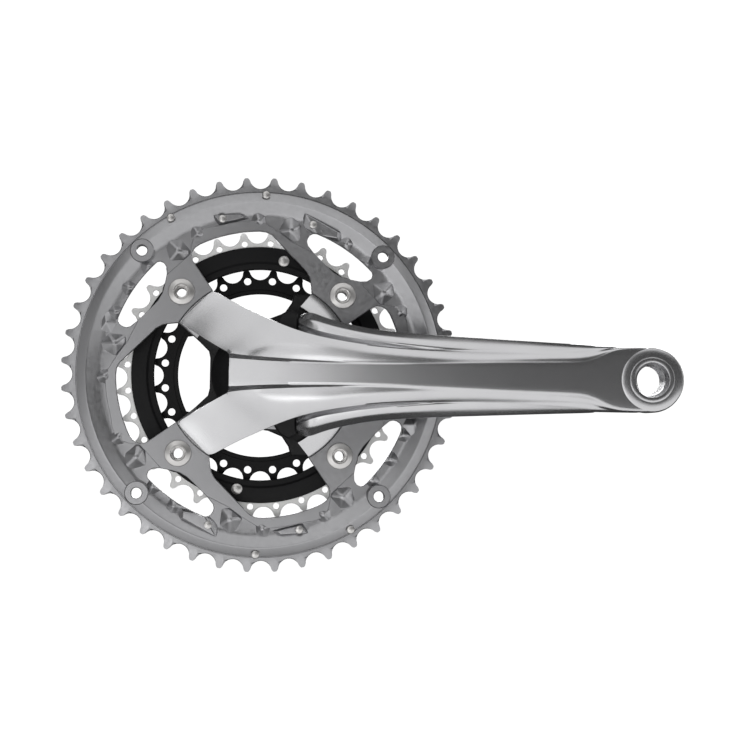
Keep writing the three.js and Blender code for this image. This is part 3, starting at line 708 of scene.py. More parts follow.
@dataclass
class OuterRing:
    """Pressed 44-tooth ring: a raised four-legged frame, slots, dimples, bosses and a stiffening ridge."""

    teeth: int = 44
    first_gap: float = 1.2
    tip: float = 1.25
    tab_radius: float = 44.0
    tab_half_angle: float = 14.2
    rim_step: float = 83.5
    crest: float = 79.0
    crest_front: float = 61.35
    foot: float = 73.2
    floor: float = 58.5
    boss_circle: float = 77.7
    boss_radius: float = 5.4
    boss_front: float = 61.65
    boss_hole: float = 2.4
    chamfer: float = 0.3
    large_dimples: tuple[Point, ...] = ((67.8, -9.9), (67.8, 34.5))
    small_dimples: tuple[Point, ...] = ((70.6, 2.6), (71.6, 13), (71.6, 23.2), (70.4, -19.7), (70.6, 47))
    heel_place: Point = (73.2, 162.4)
    ramp_height: float = 1.5
    pad_height: float = 2.1

    def disc(self) -> BMesh:
        """Turned blank: flat floor, ridge, stepped rim and thin tooth band.

        Returns:
            The closed blank.
        """
        front, back = OUTER_Z + TOOTH_HALF, OUTER_Z - TOOTH_HALF
        tip_radius = pitch_radius(self.teeth) + self.tip
        return turned(
            [
                (40, OUTER_BACK),
                (self.crest - 4, OUTER_BACK),
                (self.rim_step - 0.8, back),
                (tip_radius - 3.4, back),
                (tip_radius + 2, back + 0.9),
                (tip_radius + 2, front - 1.2),
                (tip_radius - 3.9, front),
                (self.rim_step + 0.15, front),
                (self.rim_step, front - 0.35),
                (self.rim_step - 0.25, front - 0.35),
                (self.rim_step - 0.3, OUTER_FRONT - 0.35),
                (self.rim_step - 0.6, OUTER_FRONT - 0.1),
                (self.crest + 0.7, self.crest_front - 0.2),
                (self.crest, self.crest_front),
                (self.crest - 0.7, self.crest_front - 0.2),
                (self.foot + 1.2, self.floor + 0.4),
                (self.foot - 0.8, self.floor),
                (40, self.floor),
            ],
            264,
        )

    def frame_outline(self) -> list[Point]:
        """Outer edge of the raised frame that joins the four tabs.

        Returns:
            Counter-clockwise points.
        """
        outline = []
        for bolt in ARM_ANGLES:
            outline += arc((0, 0), 70.4, bolt - 43, bolt - 29, 5)
            outline += [
                polar(71.3, bolt - 24),
                polar(71.4, bolt - 21),
                polar(70.2, bolt - 18.4),
                polar(67.6, bolt - 16.2),
                polar(63.4, bolt - 13.4),
                polar(62.2, bolt - 0.7),
                polar(60.6, bolt + 9),
                polar(61.0, bolt + 18),
                polar(60.8, bolt + 24),
                polar(62.2, bolt + 32.5),
                polar(65.6, bolt + 38.6),
                polar(69.0, bolt + 44.2),
            ]
        return outline

    def opening(self) -> list[Point]:
        """Inner opening: a tab's arc, a slanting leg, a round stretch and the step to the next tab.

        Returns:
            Counter-clockwise points.
        """
        outline = []
        for bolt in ARM_ANGLES:
            outline += arc(
                (0, 0), self.tab_radius, bolt - self.tab_half_angle, bolt + self.tab_half_angle, 12
            )
            outline += [
                polar(45.8, bolt + 15.8),
                polar(48.2, bolt + 17.9),
                polar(49.9, bolt + 19.6),
                polar(51.7, bolt + 22.4),
                polar(64.1, bolt + 41.6),
                polar(65.2, bolt + 43.9),
            ]
            outline += arc((0, 0), 65.5, bolt + 46.5, bolt + 71, 12)
            outline += [
                polar(65.1, bolt + 73.4),
                polar(64.0, bolt + 75.2),
                polar(62.2, bolt + 76.6),
                polar(60.2, bolt + 77.0),
            ]
        return outline

    def slot(self, bolt: float) -> list[Point]:
        """Slanted kidney slot beside a tab.

        Args:
            bolt: Angle of the tab's bolt, in degrees.

        Returns:
            Counter-clockwise points.
        """
        return [
            *arc((0, 0), 69.5, bolt - 1.2, bolt + 24.4, 14),
            polar(69.0, bolt + 25.7),
            polar(67.8, bolt + 26.6),
            polar(66.2, bolt + 27.0),
            polar(64.6, bolt + 26.9),
            polar(63.0, bolt + 26.0),
            polar(60.8, bolt + 22.4),
            polar(58.7, bolt + 16.6),
            polar(57.5, bolt + 10.6),
            polar(58.0, bolt + 6.6),
            polar(59.6, bolt + 3.4),
            polar(62.6, bolt - 0.8),
            polar(65.0, bolt - 2.6),
            polar(67.2, bolt - 2.9),
            polar(68.8, bolt - 2.2),
        ]

    def dimple(self, radius: float, angle: float, size: float, height: float) -> BMesh:
        """Pressed pyramid with rounded edges.

        Args:
            radius: Distance of its middle from the crank axis.
            angle: Where it stands, in degrees.
            size: Scale of its plan, 1 for the large ones.
            height: Rise over the floor.

        Returns:
            The closed pyramid.
        """
        plan = ((5.8, 0.8), (3.0, -3.9), (-3.8, -4.5), (-4.9, -0.8), (-1.7, 4.9), (3.4, 3.4))
        points = [(u * size, v * size, 0) for u, v in plan] + [(-0.4 * size, -0.3 * size, height)]
        return self.stand(soften(hull(points), 0.8 * size, 4), radius, angle)

    def stand(self, bm: BMesh, radius: float, angle: float) -> BMesh:
        """Moves a shape made at the origin onto the ring's floor, with its x outwards.

        Args:
            bm: The shape.
            radius: Distance from the crank axis.
            angle: Where it stands, in degrees.

        Returns:
            The same shape.
        """
        turn = Matrix.Rotation(math.radians(angle), 4, "Z")
        place = turn @ Matrix.Translation((radius, 0, self.floor - 0.6))
        bmesh.ops.transform(bm, matrix=place, verts=bm.verts)
        return bm

    def ramp(self, base: Sequence[Point], top: Sequence[Point], height: float) -> BMesh:
        """Raised pad with a flat top and sloping sides, round a shift pin."""
        points = [(x, y, self.floor - 0.5) for x, y in base] + [(x, y, self.floor + height) for x, y in top]
        return soften(hull(points), 0.4, 3)

    def raised(self) -> list[BMesh]:
        """Everything that stands on the ring's floor.

        Returns:
            Closed shapes that overlap the blank.
        """
        shapes = [slab(self.frame_outline(), OUTER_BACK + 0.4, OUTER_FRONT, 0.22)]
        for bolt in ARM_ANGLES:
            for radius, angle in self.large_dimples:
                shapes.append(self.dimple(radius, bolt + angle, 1.28, 4.4))
            for radius, angle in self.small_dimples:
                shapes.append(self.dimple(radius, bolt + angle, 0.9, 3.4))
            boss = turned(
                [
                    (0, OUTER_BACK + 0.5),
                    (self.boss_radius + 0.5, OUTER_BACK + 0.5),
                    (self.boss_radius + 0.5, self.floor),
                    (self.boss_radius, self.floor + 0.5),
                    (self.boss_radius, self.boss_front - 0.35),
                    (self.boss_radius - 0.35, self.boss_front),
                    (0, self.boss_front),
                ],
                64,
                polar(self.boss_circle, bolt),
            )
            shapes.append(boss)
        for turn in (0, 180):
            shapes.append(self.pin_ramp(turn))
            shapes.append(self.pin_pad(turn))
            shapes.append(self.stand(self.heel(), self.heel_place[0], self.heel_place[1] + turn))
        return shapes

    def heel(self) -> BMesh:
        """D-shaped pyramid that stands opposite the pin pads."""
        plan = ((4.2, -7.0), (5.0, 0), (2.4, 6.3), (-3.8, 4.6), (-5.0, -1.2), (-2.4, -5.6), (1.0, -7.6))
        return soften(hull([(u, v, 0) for u, v in plan] + [(0.4, 0.4, 3.2)]), 0.5, 3)

    def pin_ramp(self, turn: float) -> BMesh:
        """Long wedge round a shift pin, beside the arm's upper left leg.

        Args:
            turn: Angle that the wedge is turned by, 0 or 180 degrees.

        Returns:
            The closed wedge.
        """
        base = [
            polar(76.6, 109 + turn),
            polar(74.4, 97 + turn),
            polar(71.4, 94.5 + turn),
            polar(70.4, 100 + turn),
            polar(70.4, 107 + turn),
        ]
        top = [
            polar(75.4, 107.4 + turn),
            polar(73.6, 98.5 + turn),
            polar(72.2, 97.4 + turn),
            polar(71.6, 100.6 + turn),
            polar(71.8, 106.0 + turn),
        ]
        return self.ramp(base, top, self.ramp_height)

    def pin_pad(self, turn: float) -> BMesh:
        """Flat pad round a shift pin, with one steep end.

        Args:
            turn: Angle that the pad is turned by, 0 or 180 degrees.

        Returns:
            The closed pad.
        """
        base = [
            polar(77.6, 77.6 + turn),
            polar(75.8, 61 + turn),
            polar(70.8, 59.6 + turn),
            polar(67.6, 69.6 + turn),
            polar(70.6, 75.2 + turn),
        ]
        top = [
            polar(76.4, 75.6 + turn),
            polar(74.2, 63 + turn),
            polar(71.6, 62 + turn),
            polar(68.9, 69.2 + turn),
        ]
        return self.ramp(base, top, self.pad_height)

    def tooth_facet(self, index: int) -> BMesh:
        """Wedge that takes one flank off the front of a tooth.

        Args:
            index: Number of the tooth.

        Returns:
            The closed wedge.
        """
        angle = self.first_gap + (index + 0.5) * 360 / self.teeth
        radius = pitch_radius(self.teeth) + self.tip
        points = [
            (-4.2, 1.6, 0.05),
            (1.2, -0.7, 0.05),
            (1.2, 4.4, 0.05),
            (-5.2, 4.4, 0.05),
            (-3.6, 4.4, -1.5),
            (1.2, 4.4, -1.9),
            (1.2, 1.4, -1.2),
        ]
        bm = hull(points)
        place = Matrix.Rotation(math.radians(angle), 4, "Z") @ Matrix.Translation(
            (radius, 0, OUTER_Z + TOOTH_HALF)
        )
        bmesh.ops.transform(bm, matrix=place, verts=bm.verts)
        return bm

    def build(self) -> BMesh:
        """Presses, trims and drills the ring.

        Returns:
            The finished ring.
        """
        outline = toothed(self.teeth, self.first_gap, self.tip)
        small = offset(outline, -0.25)
        blank = combine(self.disc(), self.raised(), Boolean.FUSE)
        edge = prism(
            [
                (small, OUTER_BACK - 5),
                (small, OUTER_Z - TOOTH_HALF),
                (outline, OUTER_Z - TOOTH_HALF + 0.25),
                (outline, OUTER_Z + TOOTH_HALF - 0.25),
                (small, OUTER_Z + TOOTH_HALF),
                (small, self.boss_front + 5),
            ]
        )
        ring = combine(blank, [edge], Boolean.KEEP)
        tools = [cutter(self.slot(bolt), OUTER_BACK, self.floor, self.chamfer) for bolt in ARM_ANGLES]
        tools += [
            cutter(circle(polar(BOLT_RADIUS, bolt), BOLT_HOLE, 48), OUTER_BACK, OUTER_FRONT, self.chamfer)
            for bolt in ARM_ANGLES
        ]
        tools += [
            cutter(
                circle(polar(self.boss_circle, bolt), self.boss_hole, 40), OUTER_BACK, self.boss_front, 0.35
            )
            for bolt in ARM_ANGLES
        ]
        tools.append(cutter(self.opening(), OUTER_BACK, OUTER_FRONT, self.chamfer))
        facets = gather([self.tooth_facet(index) for index in range(self.teeth)])
        return combine(ring, [gather(tools), facets], Boolean.CARVE)


@dataclass
class MiddleRing:
    """32 steel teeth on a band, moulded into a black composite carrier."""

    teeth: int = 32
    first_hole: float = 8.0
    tip: float = 1.2
    band_inner: float = 57.8
    carrier_outer: float = 59.1
    carrier_inner: float = 48.7
    hole_circle: float = 60.9
    hole_radius: float = 1.4
    lug_radius: float = 8.6
    pin_circle: float = 53.6
    pin_angles: tuple[float, ...] = (79.5, 259.5)
    pin_hole: float = 1.55

    def band(self) -> BMesh:
        """Toothed band with a round hole under each tooth.

        Returns:
            The closed band.
        """
        step = 360 / self.teeth
        outline = toothed(self.teeth, self.first_hole - step / 2, self.tip)
        blank = slab(outline, MIDDLE_Z - TOOTH_HALF, MIDDLE_Z + TOOTH_HALF, 0.25)
        tip_radius = pitch_radius(self.teeth) + self.tip
        lens = turned(
            [
                (self.band_inner, MIDDLE_Z - 1.1),
                (tip_radius - 3.6, MIDDLE_Z - 1.1),
                (tip_radius + 2, MIDDLE_Z - 0.2),
                (tip_radius + 2, MIDDLE_Z + 0.2),
                (tip_radius - 3.6, MIDDLE_Z + 1.1),
                (self.band_inner, MIDDLE_Z + 1.1),
            ],
            160,
        )
        back, front = MIDDLE_Z - TOOTH_HALF, MIDDLE_Z + TOOTH_HALF
        holes = []
        for k in range(self.teeth):
            place = polar(self.hole_circle, self.first_hole + k * step)
            holes.append(cutter(circle(place, self.hole_radius, 24), back, front, 0.15))
        return combine(combine(blank, [lens], Boolean.KEEP), [gather(holes)], Boolean.CARVE)

    def carrier(self) -> BMesh:
        """Moulded ring with a raised inner land, and a lug at each bolt.

        Returns:
            The closed carrier.
        """
        slot = 1.3
        ring = turned(
            [
                (self.carrier_inner, CARRIER_BACK + 0.4),
                (self.carrier_inner + 0.4, CARRIER_BACK),
                (self.carrier_outer - 0.4, CARRIER_BACK),
                (self.carrier_outer, CARRIER_BACK + 0.3),
                (self.carrier_outer, MIDDLE_Z - slot),
                (self.band_inner - 0.3, MIDDLE_Z - slot),
                (self.band_inner - 0.3, MIDDLE_Z + slot),
                (self.carrier_outer, MIDDLE_Z + slot),
                (self.carrier_outer, CARRIER_FRONT - 0.55),
                (self.carrier_outer - 0.4, CARRIER_FRONT - 0.3),
                (self.carrier_outer - 4.6, CARRIER_FRONT),
                (self.carrier_inner + 3.6, CARRIER_FRONT),
                (self.carrier_inner + 2.6, CARRIER_FRONT - 0.9),
                (self.carrier_inner + 0.4, CARRIER_FRONT - 1.1),
                (self.carrier_inner, CARRIER_FRONT - 1.5),
            ],
            160,
        )
        lugs = []
        for bolt in ARM_ANGLES:
            pad = [
                *arc(polar(BOLT_RADIUS, bolt), self.lug_radius, bolt + 100, bolt + 260, 16),
                polar(57.4, bolt - 11.5),
                polar(57.4, bolt),
                polar(57.4, bolt + 11.5),
            ]
            lugs.append(slab(pad, CARRIER_BACK, CARRIER_FRONT, 0.3))
        body = combine(ring, lugs, Boolean.FUSE)
        holes = [
            cutter(circle(polar(BOLT_RADIUS, bolt), BOLT_HOLE, 48), CARRIER_BACK, CARRIER_FRONT, 0.2)
            for bolt in ARM_ANGLES
        ]
        holes += [
            cutter(circle(polar(self.pin_circle, angle), self.pin_hole, 24), CARRIER_BACK, CARRIER_FRONT, 0.1)
            for angle in self.pin_angles
        ]
        return combine(body, [gather(holes)], Boolean.CARVE)


@dataclass
class InnerRing:
    """24 black steel teeth with a round hole under each, on four lugs."""

    teeth: int = 24
    first_hole: float = 8.7
    tip: float = 1.1
    first_gap: float = 1.2
    opening: float = 38.0
    hole_circle: float = 44.3
    hole_radius: float = 1.7
    lug_radius: float = 7.4

    def build(self) -> BMesh:
        """Blanks, drills and grooves the ring.

        Returns:
            The finished ring.
        """
        step = 360 / self.teeth
        outline = toothed(self.teeth, self.first_gap, self.tip)
        blank = slab(outline, INNER_Z - TOOTH_HALF, INNER_Z + TOOTH_HALF, 0.25)
        tip_radius = pitch_radius(self.teeth) + self.tip
        lens = turned(
            [
                (self.opening, INNER_Z - 0.8),
                (self.opening + 0.2, INNER_Z - 1.1),
                (tip_radius - 3.6, INNER_Z - 1.1),
                (tip_radius + 2, INNER_Z - 0.2),
                (tip_radius + 2, INNER_Z + 0.2),
                (tip_radius - 3.6, INNER_Z + 1.1),
                (self.opening + 2.2, INNER_Z + 1.1),
                (self.opening + 1.9, INNER_Z + 0.7),
                (self.opening + 0.3, INNER_Z + 0.7),
                (self.opening, INNER_Z + 0.4),
            ],
            144,
        )
        ring = combine(blank, [lens], Boolean.KEEP)
        lugs = []
        for bolt in ARM_ANGLES:
            pad = [
                polar(39.2, bolt + 19),
                polar(35.6, bolt + 15),
                *arc(polar(INNER_BOLT_RADIUS, bolt), self.lug_radius, bolt + 90, bolt + 270, 16),
                polar(35.6, bolt - 15),
                polar(39.2, bolt - 19),
                polar(39.4, bolt),
            ]
            lugs.append(slab(pad, INNER_Z - TOOTH_HALF, INNER_Z + TOOTH_HALF, 0.2))
        ring = combine(ring, lugs, Boolean.FUSE)
        holes = [
            circle(polar(self.hole_circle, self.first_hole + k * step), self.hole_radius, 28)
            for k in range(self.teeth)
        ]
        holes += [circle(polar(INNER_BOLT_RADIUS, bolt), INNER_BOLT_HOLE, 40) for bolt in ARM_ANGLES]
        tools = [cutter(hole, INNER_Z - TOOTH_HALF, INNER_Z + TOOTH_HALF, 0.2) for hole in holes]
        return combine(ring, [gather(tools)], Boolean.CARVE)


# ---- Arm and spider ------------------------------------------------------------------------------
PANEL_Z = Rail((
    (-14.5, 74.6), (10, 77.4), (40, 80.4), (70, 82.9), (100, 85.0), (130, 86.4), (150, 87.0), (162, 87.2)
))


@dataclass
class CrankArm:
    """Forged arm: a flat panel, rolled shoulders that flow out of two leaning legs, and a fin each side.

    Rails are read by x. The upper half is made first and mirrored. A shoulder has an inner edge beside
    the panel and an outer edge beside the groove; ``inner_x`` says which point of the inner edge faces
    a point of the outer one.
    """

    inner_x: Rail = Rail((
        (-22.6, -37.6), (-11.5, -28), (0, -18.5), (5, -14.5), (20, 5), (40, 31), (62, 59), (76, 75), (90, 90),
        (175, 175)
    ))
    outer_y: Rail = Rail((
        (-22.6, 38.0), (-11.5, 31.7), (0, 26.2), (10, 21.8), (20, 18.3), (30, 16), (40, 14.3), (50, 13),
        (62, 12), (76, 11.3), (90, 11), (135, 11.2), (145, 11.6), (151, 12.4), (156, 13.6), (161, 14.3),
        (168, 14.45), (175, 14.45)
    ))
    outer_z: Rail = Rail((
        (-22.6, 59.7), (-17.5, 61.0), (-11.5, 63.0), (-5.5, 65.3), (0, 67.6), (5, 70.0), (12, 72.7),
        (20, 75.0), (30, 77.1), (40, 78.3), (62, 80.2), (90, 82.0), (120, 84.1), (145, 85.5), (156, 86.3),
        (168, 86.62), (175, 86.62)
    ))
    inner_y: Rail = Rail((
        (-37.6, 22.9), (-28, 16.7), (-18.5, 11), (-14.5, 8.8), (-6, 7.7), (5, 7.0), (18, 6.3), (31, 5.8),
        (44, 5.5), (59, 5.5), (75, 5.9), (105, 6.8), (135, 7.6), (145, 8.1), (151, 10.2), (156, 12.9),
        (161, 14.0), (168, 14.25), (175, 14.25)
    ))
    inner_z: Rail = Rail((
        (-37.6, 59.7), (-33, 60.9), (-28, 62.6), (-23, 64.7), (-18.5, 67.0), (-14.5, 69.5), (-6, 72.9),
        (5, 75.0), (18, 77.0), (31, 78.6), (44, 80.2), (59, 81.65), (75, 83.0), (105, 85.0), (135, 86.3),
        (151, 86.8), (168, 86.92), (175, 86.92)
    ))
    bulge: Rail = Rail((
        (-22.6, 0.2), (0, 0.5), (12, 1.0), (40, 1.0), (62, 0.7), (90, 0.35), (145, 0.3), (156, 0.1), (168, 0)
    ))
    panel_y: Rail = Rail((
        (-14.5, 6.4), (5, 5.3), (18, 4.95), (44, 4.5), (59, 4.6), (75, 5.0), (105, 5.9), (135, 6.6),
        (145, 7.0), (151, 9.2), (156, 12.1), (161, 13.4), (168, 14.0), (175, 14.0)
    ))
    groove_y: Rail = Rail((
        (16.5, 21.6), (20, 19.9), (30, 17.1), (50, 14.0), (76, 12.0), (90, 11.7), (120, 11.9), (151, 12.9),
        (161, 14.5), (168, 14.55), (175, 14.55)
    ))
    groove_z: Rail = Rail((
        (16.5, 66.5), (20, 70.2), (30, 73.2), (50, 77.1), (62, 78.7), (76, 80.3), (90, 81.5), (120, 83.7),
        (151, 85.6), (168, 86.45), (175, 86.45)
    ))
    fin_y: Rail = Rail((
        (16.5, 23.4), (20, 21.0), (30, 18.3), (50, 15.1), (76, 12.8), (90, 12.4), (135, 12.9), (156, 14.2),
        (168, 14.65), (175, 14.65)
    ))
    fin_z: Rail = Rail((
        (16.5, 67.5), (18.5, 71.4), (23, 73.8), (30, 75.2), (50, 78.4), (62, 79.6), (76, 80.7), (90, 81.5),
        (120, 83.3), (145, 84.8), (161, 85.9), (168, 86.25), (175, 86.25)
    ))
    crown_y: Rail = Rail((
        (16.5, 25.2), (20, 24.8), (30, 21.6), (50, 17.8), (76, 15.6), (90, 15), (135, 14.4), (168, 14.72),
        (175, 14.72)
    ))
    crown_z: Rail = Rail((
        (16.5, 66.5), (18.5, 70.2), (23, 73.0), (30, 74.4), (50, 77.6), (76, 79.6), (90, 80.4), (120, 82.3),
        (145, 84.1), (168, 85.9), (175, 85.9)
    ))
    edge_y: Rail = Rail((
        (16.5, 27.2), (18.5, 29), (20, 29.2), (30, 25.2), (50, 20.8), (76, 18.6), (90, 17.9), (120, 16.5),
        (145, 15.4), (156, 14.9), (168, 14.8), (175, 14.8)
    ))
    edge_z: Rail = Rail((
        (16.5, 63.5), (18.5, 66), (23, 69.3), (30, 71.2), (50, 74.8), (76, 77.2), (90, 78.1), (120, 80.6),
        (145, 82.8), (161, 84.8), (168, 85.3), (175, 85.3)
    ))
    back: Rail = Rail(((-40, 53.5), (-8, 54), (25, 62), (60, 67), (100, 70.6), (150, 73.1), (175, 73.2)))
    tip_x: float = 16.5
    eye_radius: float = 14.8
    hub_radius: float = 22.5
    spider_end: float = 8.8
    lug_radius: float = 7.0
    bore: float = 12.3
    rim_crease: float = 0.75
    skirt: float = 2.2
    back_step: float = 2.6
    back_insets: tuple[Point, ...] = ((0.5, 1.5), (1.3, 1.0))

    def stations(self) -> list[float]:
        """Places along the outer edge where the sheet has a cross-section.

        Returns:
            Their x, from the legs' ends to the pedal axis.
        """
        legs = [-22.6 + 27.6 * k / 7 for k in range(7)]
        root = [5 + (self.tip_x - 5) * k / 3 for k in range(3)]
        arm = [self.tip_x + (CRANK_LENGTH - self.tip_x) * k / 32 for k in range(33)]
        return legs + root + arm

    def sheet(self) -> BMesh:
        """Upper half of the front surface as a control mesh, with creases along the rails.

        Returns:
            An open mesh.
        """
        bm = bmesh.new()
        crease = bm.edges.layers.float.new("crease_edge")
        marks = self.stations()
        chain: list[BMVert] = []
        rows: list[list[BMVert]] = []
        for mark in marks:
            points = self.shoulder(mark)
            if not chain:
                chain = [bm.verts.new(point) for point in points]
                for pair in zip(chain, chain[1:]):
                    bm.edges.new(pair)
            else:
                chain = self.extend(bm, chain, points)
            rows.append(chain)
        inner = [row[0] for row in rows]
        outer = [row[-1] for row in rows]
        panel_from = next(k for k, mark in enumerate(marks) if self.inner_x.at(mark) > -14.6)
        fin_from = next(k for k, mark in enumerate(marks) if mark > self.tip_x - 0.1)
        panel_marks = [self.inner_x.at(mark) for mark in marks[panel_from:]]
        self.mark(inner[panel_from:], crease, panel_marks, Rail(((0, 0.8), (40, 0.5), (70, 0.0))))
        ridge = self.extend(
            bm, inner[panel_from:], [(x, self.panel_y.at(x), PANEL_Z.at(x)) for x in panel_marks]
        )
        self.mark(ridge, crease, panel_marks, Rail(((0, 0.9), (40, 0.7), (80, 0.35), (168, 0.35))))
        self.extend(bm, ridge, [(x, 0, PANEL_Z.at(x)) for x in panel_marks])
        fin_marks = marks[fin_from:]
        self.mark(outer[fin_from:], crease, fin_marks, Rail(((20, 0.6), (60, 0.5), (100, 0.0))))
        groove = self.extend(
            bm, outer[fin_from:], [(x, self.groove_y.at(x), self.groove_z.at(x)) for x in fin_marks]
        )
        lip = self.extend(bm, groove, [(x, self.fin_y.at(x), self.fin_z.at(x)) for x in fin_marks])
        self.mark(lip, crease, fin_marks, Rail(((20, 0.6), (60, 0.4), (100, 0.0))))
        crown = self.extend(bm, lip, [(x, self.crown_y.at(x), self.crown_z.at(x)) for x in fin_marks])
        self.extend(bm, crown, [(x, self.edge_y.at(x), self.edge_z.at(x)) for x in fin_marks])
        return bm

    def shoulder(self, mark: float) -> list[tuple[float, float, float]]:
        """Cross-section of a shoulder, from its inner edge to its outer one.

        Args:
            mark: Its place x on the outer edge.

        Returns:
            Five points.
        """
        x = self.inner_x.at(mark)
        start = Vector((x, self.inner_y.at(x), self.inner_z.at(x)))
        end = Vector((mark, self.outer_y.at(mark), self.outer_z.at(mark)))
        points = []
        for share in (0, 0.25, 0.5, 0.75, 1):
            rise = self.bulge.at(mark) * 4 * share * (1 - share)
            points.append(tuple(start.lerp(end, share) + Vector((0, 0, rise))))
        return points

    @staticmethod
    def extend(
        bm: BMesh, chain: Sequence[BMVert], points: Sequence[tuple[float, float, float]]
    ) -> list[BMVert]:
        """Extrudes a chain of edges to new places.

        Args:
            bm: The mesh.
            chain: Its vertices in order.
            points: Where each one's copy goes.

        Returns:
            The new vertices in the same order.
        """
        edges = [bm.edges.get(pair) for pair in zip(chain, chain[1:])]
        made = bmesh.ops.extrude_edge_only(bm, edges=edges)["geom"]
        fresh = {item for item in made if isinstance(item, BMVert)}
        copies = []
        for vert in chain:
            copies.append(
                next(edge.other_vert(vert) for edge in vert.link_edges if edge.other_vert(vert) in fresh)
            )
        for vert, point in zip(copies, points):
            vert.co = point
        return copies

    @staticmethod
    def mark(chain: Sequence[BMVert], layer: BMLayerItem, places: Sequence[float], rail: Rail) -> None:
        """Sets the crease along a chain of vertices.

        Args:
            chain: Vertices in order.
            layer: The mesh's crease layer.
            places: The x of each vertex.
            rail: How sharp the crease is at each x.
        """
        for (start, end), place in zip(zip(chain, chain[1:]), places):
            edge = next(edge for edge in start.link_edges if edge.other_vert(start) is end)
            edge[layer] = rail.at(place)

    def forging(self) -> BMesh:
        """Front sheet, mirrored, smoothed and given walls and a flat back.

        Returns:
            The closed solid of the arm with its two leaning legs.
        """
        bm = self.sheet()
        half = bm.verts[:] + bm.edges[:] + bm.faces[:]
        bmesh.ops.mirror(bm, geom=half, matrix=Matrix.Identity(4), merge_dist=1e-3, axis="Y")
        crease = bm.edges.layers.float.get("crease_edge")
        rim = [edge for edge in bm.edges if edge.is_boundary]
        skirt = bmesh.ops.extrude_edge_only(bm, edges=rim)["geom"]
        for edge in rim:
            edge[crease] = self.rim_crease
        lowered = [item for item in skirt if isinstance(item, BMVert)]
        bmesh.ops.translate(bm, verts=lowered, vec=(0, 0, -self.skirt))
        fine = refined(bm, 2)
        rim = [edge for edge in fine.edges if edge.is_boundary]
        made = bmesh.ops.extrude_edge_only(fine, edges=rim)["geom"]
        for vert in (item for item in made if isinstance(item, BMVert)):
            vert.co.z = self.back.at(vert.co.x) + self.back_step
        floor = [item for item in made if isinstance(item, BMEdge) and item.is_boundary]
        bmesh.ops.contextual_create(fine, geom=floor)
        base = max(fine.faces, key=lambda face: len(face.verts))
        outward(fine)
        limit, round_from = self.eye_radius - 0.03, CRANK_LENGTH - 6
        for vert in fine.verts:
            if vert.co.x > 150:
                side = math.sqrt(limit**2 - max(0.0, vert.co.x - round_from) ** 2)
                vert.co.y = max(-side, min(side, vert.co.y))
        for width, depth in self.back_insets:
            bmesh.ops.inset_region(fine, faces=[base], thickness=width, depth=0, use_even_offset=False)
            for vert in base.verts:
                vert.co.z -= depth
        bmesh.ops.triangulate(fine, faces=[base])
        return outward(fine)

    def eye(self) -> BMesh:
        """Round end with a raised seat, a chamfer and a threaded hole.

        Returns:
            The closed solid.
        """
        thread = []
        for turn in range(9):
            height = 73.8 + 1.27 * turn
            thread += [(7.05, height), (6.5, height + 0.5), (6.5, height + 0.75)]
        return turned(
            [
                *thread,
                (7.05, 85.6),
                (7.9, 87.4),
                (8.1, 87.48),
                (9.95, 87.5),
                (10.1, 87.42),
                (10.15, 87.0),
                (10.35, 87.0),
                (10.4, 87.2),
                (14.0, 87.2),
                (14.3, 87.0),
                (14.6, 86.4),
                (self.eye_radius, 85.4),
                (self.eye_radius, 75.4),
                (13.4, 73.6),
                (12.4, 73.2),
                (7.6, 73.2),
            ],
            144,
            (CRANK_LENGTH, 0),
        )

    def hub(self) -> BMesh:
        """Barrel round the axle, narrowing towards the arm's face.

        Returns:
            The closed solid.
        """
        return turned(
            [
                (0, HUB_BACK),
                (self.hub_radius - 0.6, HUB_BACK),
                (self.hub_radius, HUB_BACK + 0.6),
                (self.hub_radius, 57.5),
                (21, 61),
                (17, 66),
                (13.5, 69.8),
                (0, 71.2),
            ],
            120,
        )

    def spider_arm(self, bolt: float) -> BMesh:
        """One leg of the spider: thin under the ring's tab, thick inside it.

        Args:
            bolt: Its angle, in degrees.

        Returns:
            The closed solid.
        """
        shoulder = 44 * math.sin(math.radians(14.0))
        outline = [(8, -9.6), (22, -9.4), (32, -9.8), (43, -shoulder), (50, -shoulder + 0.6)]
        outline += arc((BOLT_RADIUS, 0), self.spider_end, -58, 58, 14)
        outline += [(50, shoulder - 0.6), (43, shoulder), (32, 9.8), (22, 9.4), (8, 9.6)]
        bm = slab(outline, SPIDER_BACK, SPIDER_FRONT, 0.5)
        rise = [
            (8, -9.2), (22, -9.0), (32, -9.4), *arc((0, 0), 43.6, -13.8, 13.8, 10), (32, 9.4), (22, 9.0),
            (8, 9.2)
        ]
        top = slab(rise, SPIDER_FRONT - 1.0, 72, 0)
        left = 90 < bolt < 270
        inside = [(36, 58.6), (30, 56.9), (0, 56.9)] if left else [
            (37, 62.2), (35.6, 62.6), (34.6, 56.9), (0, 56.9)
        ]
        profile = turned(
            [(0, 50), (46, 50), (46, 59.55), (43.2, 59.6), (40, 59.4 if left else 60.6), *inside], 120
        )
        top = combine(top, [profile], Boolean.KEEP)
        whole = combine(bm, [top], Boolean.FUSE)
        bmesh.ops.rotate(
            whole, verts=whole.verts, cent=(0, 0, 0), matrix=Matrix.Rotation(math.radians(bolt), 3, "Z")
        )
        return whole

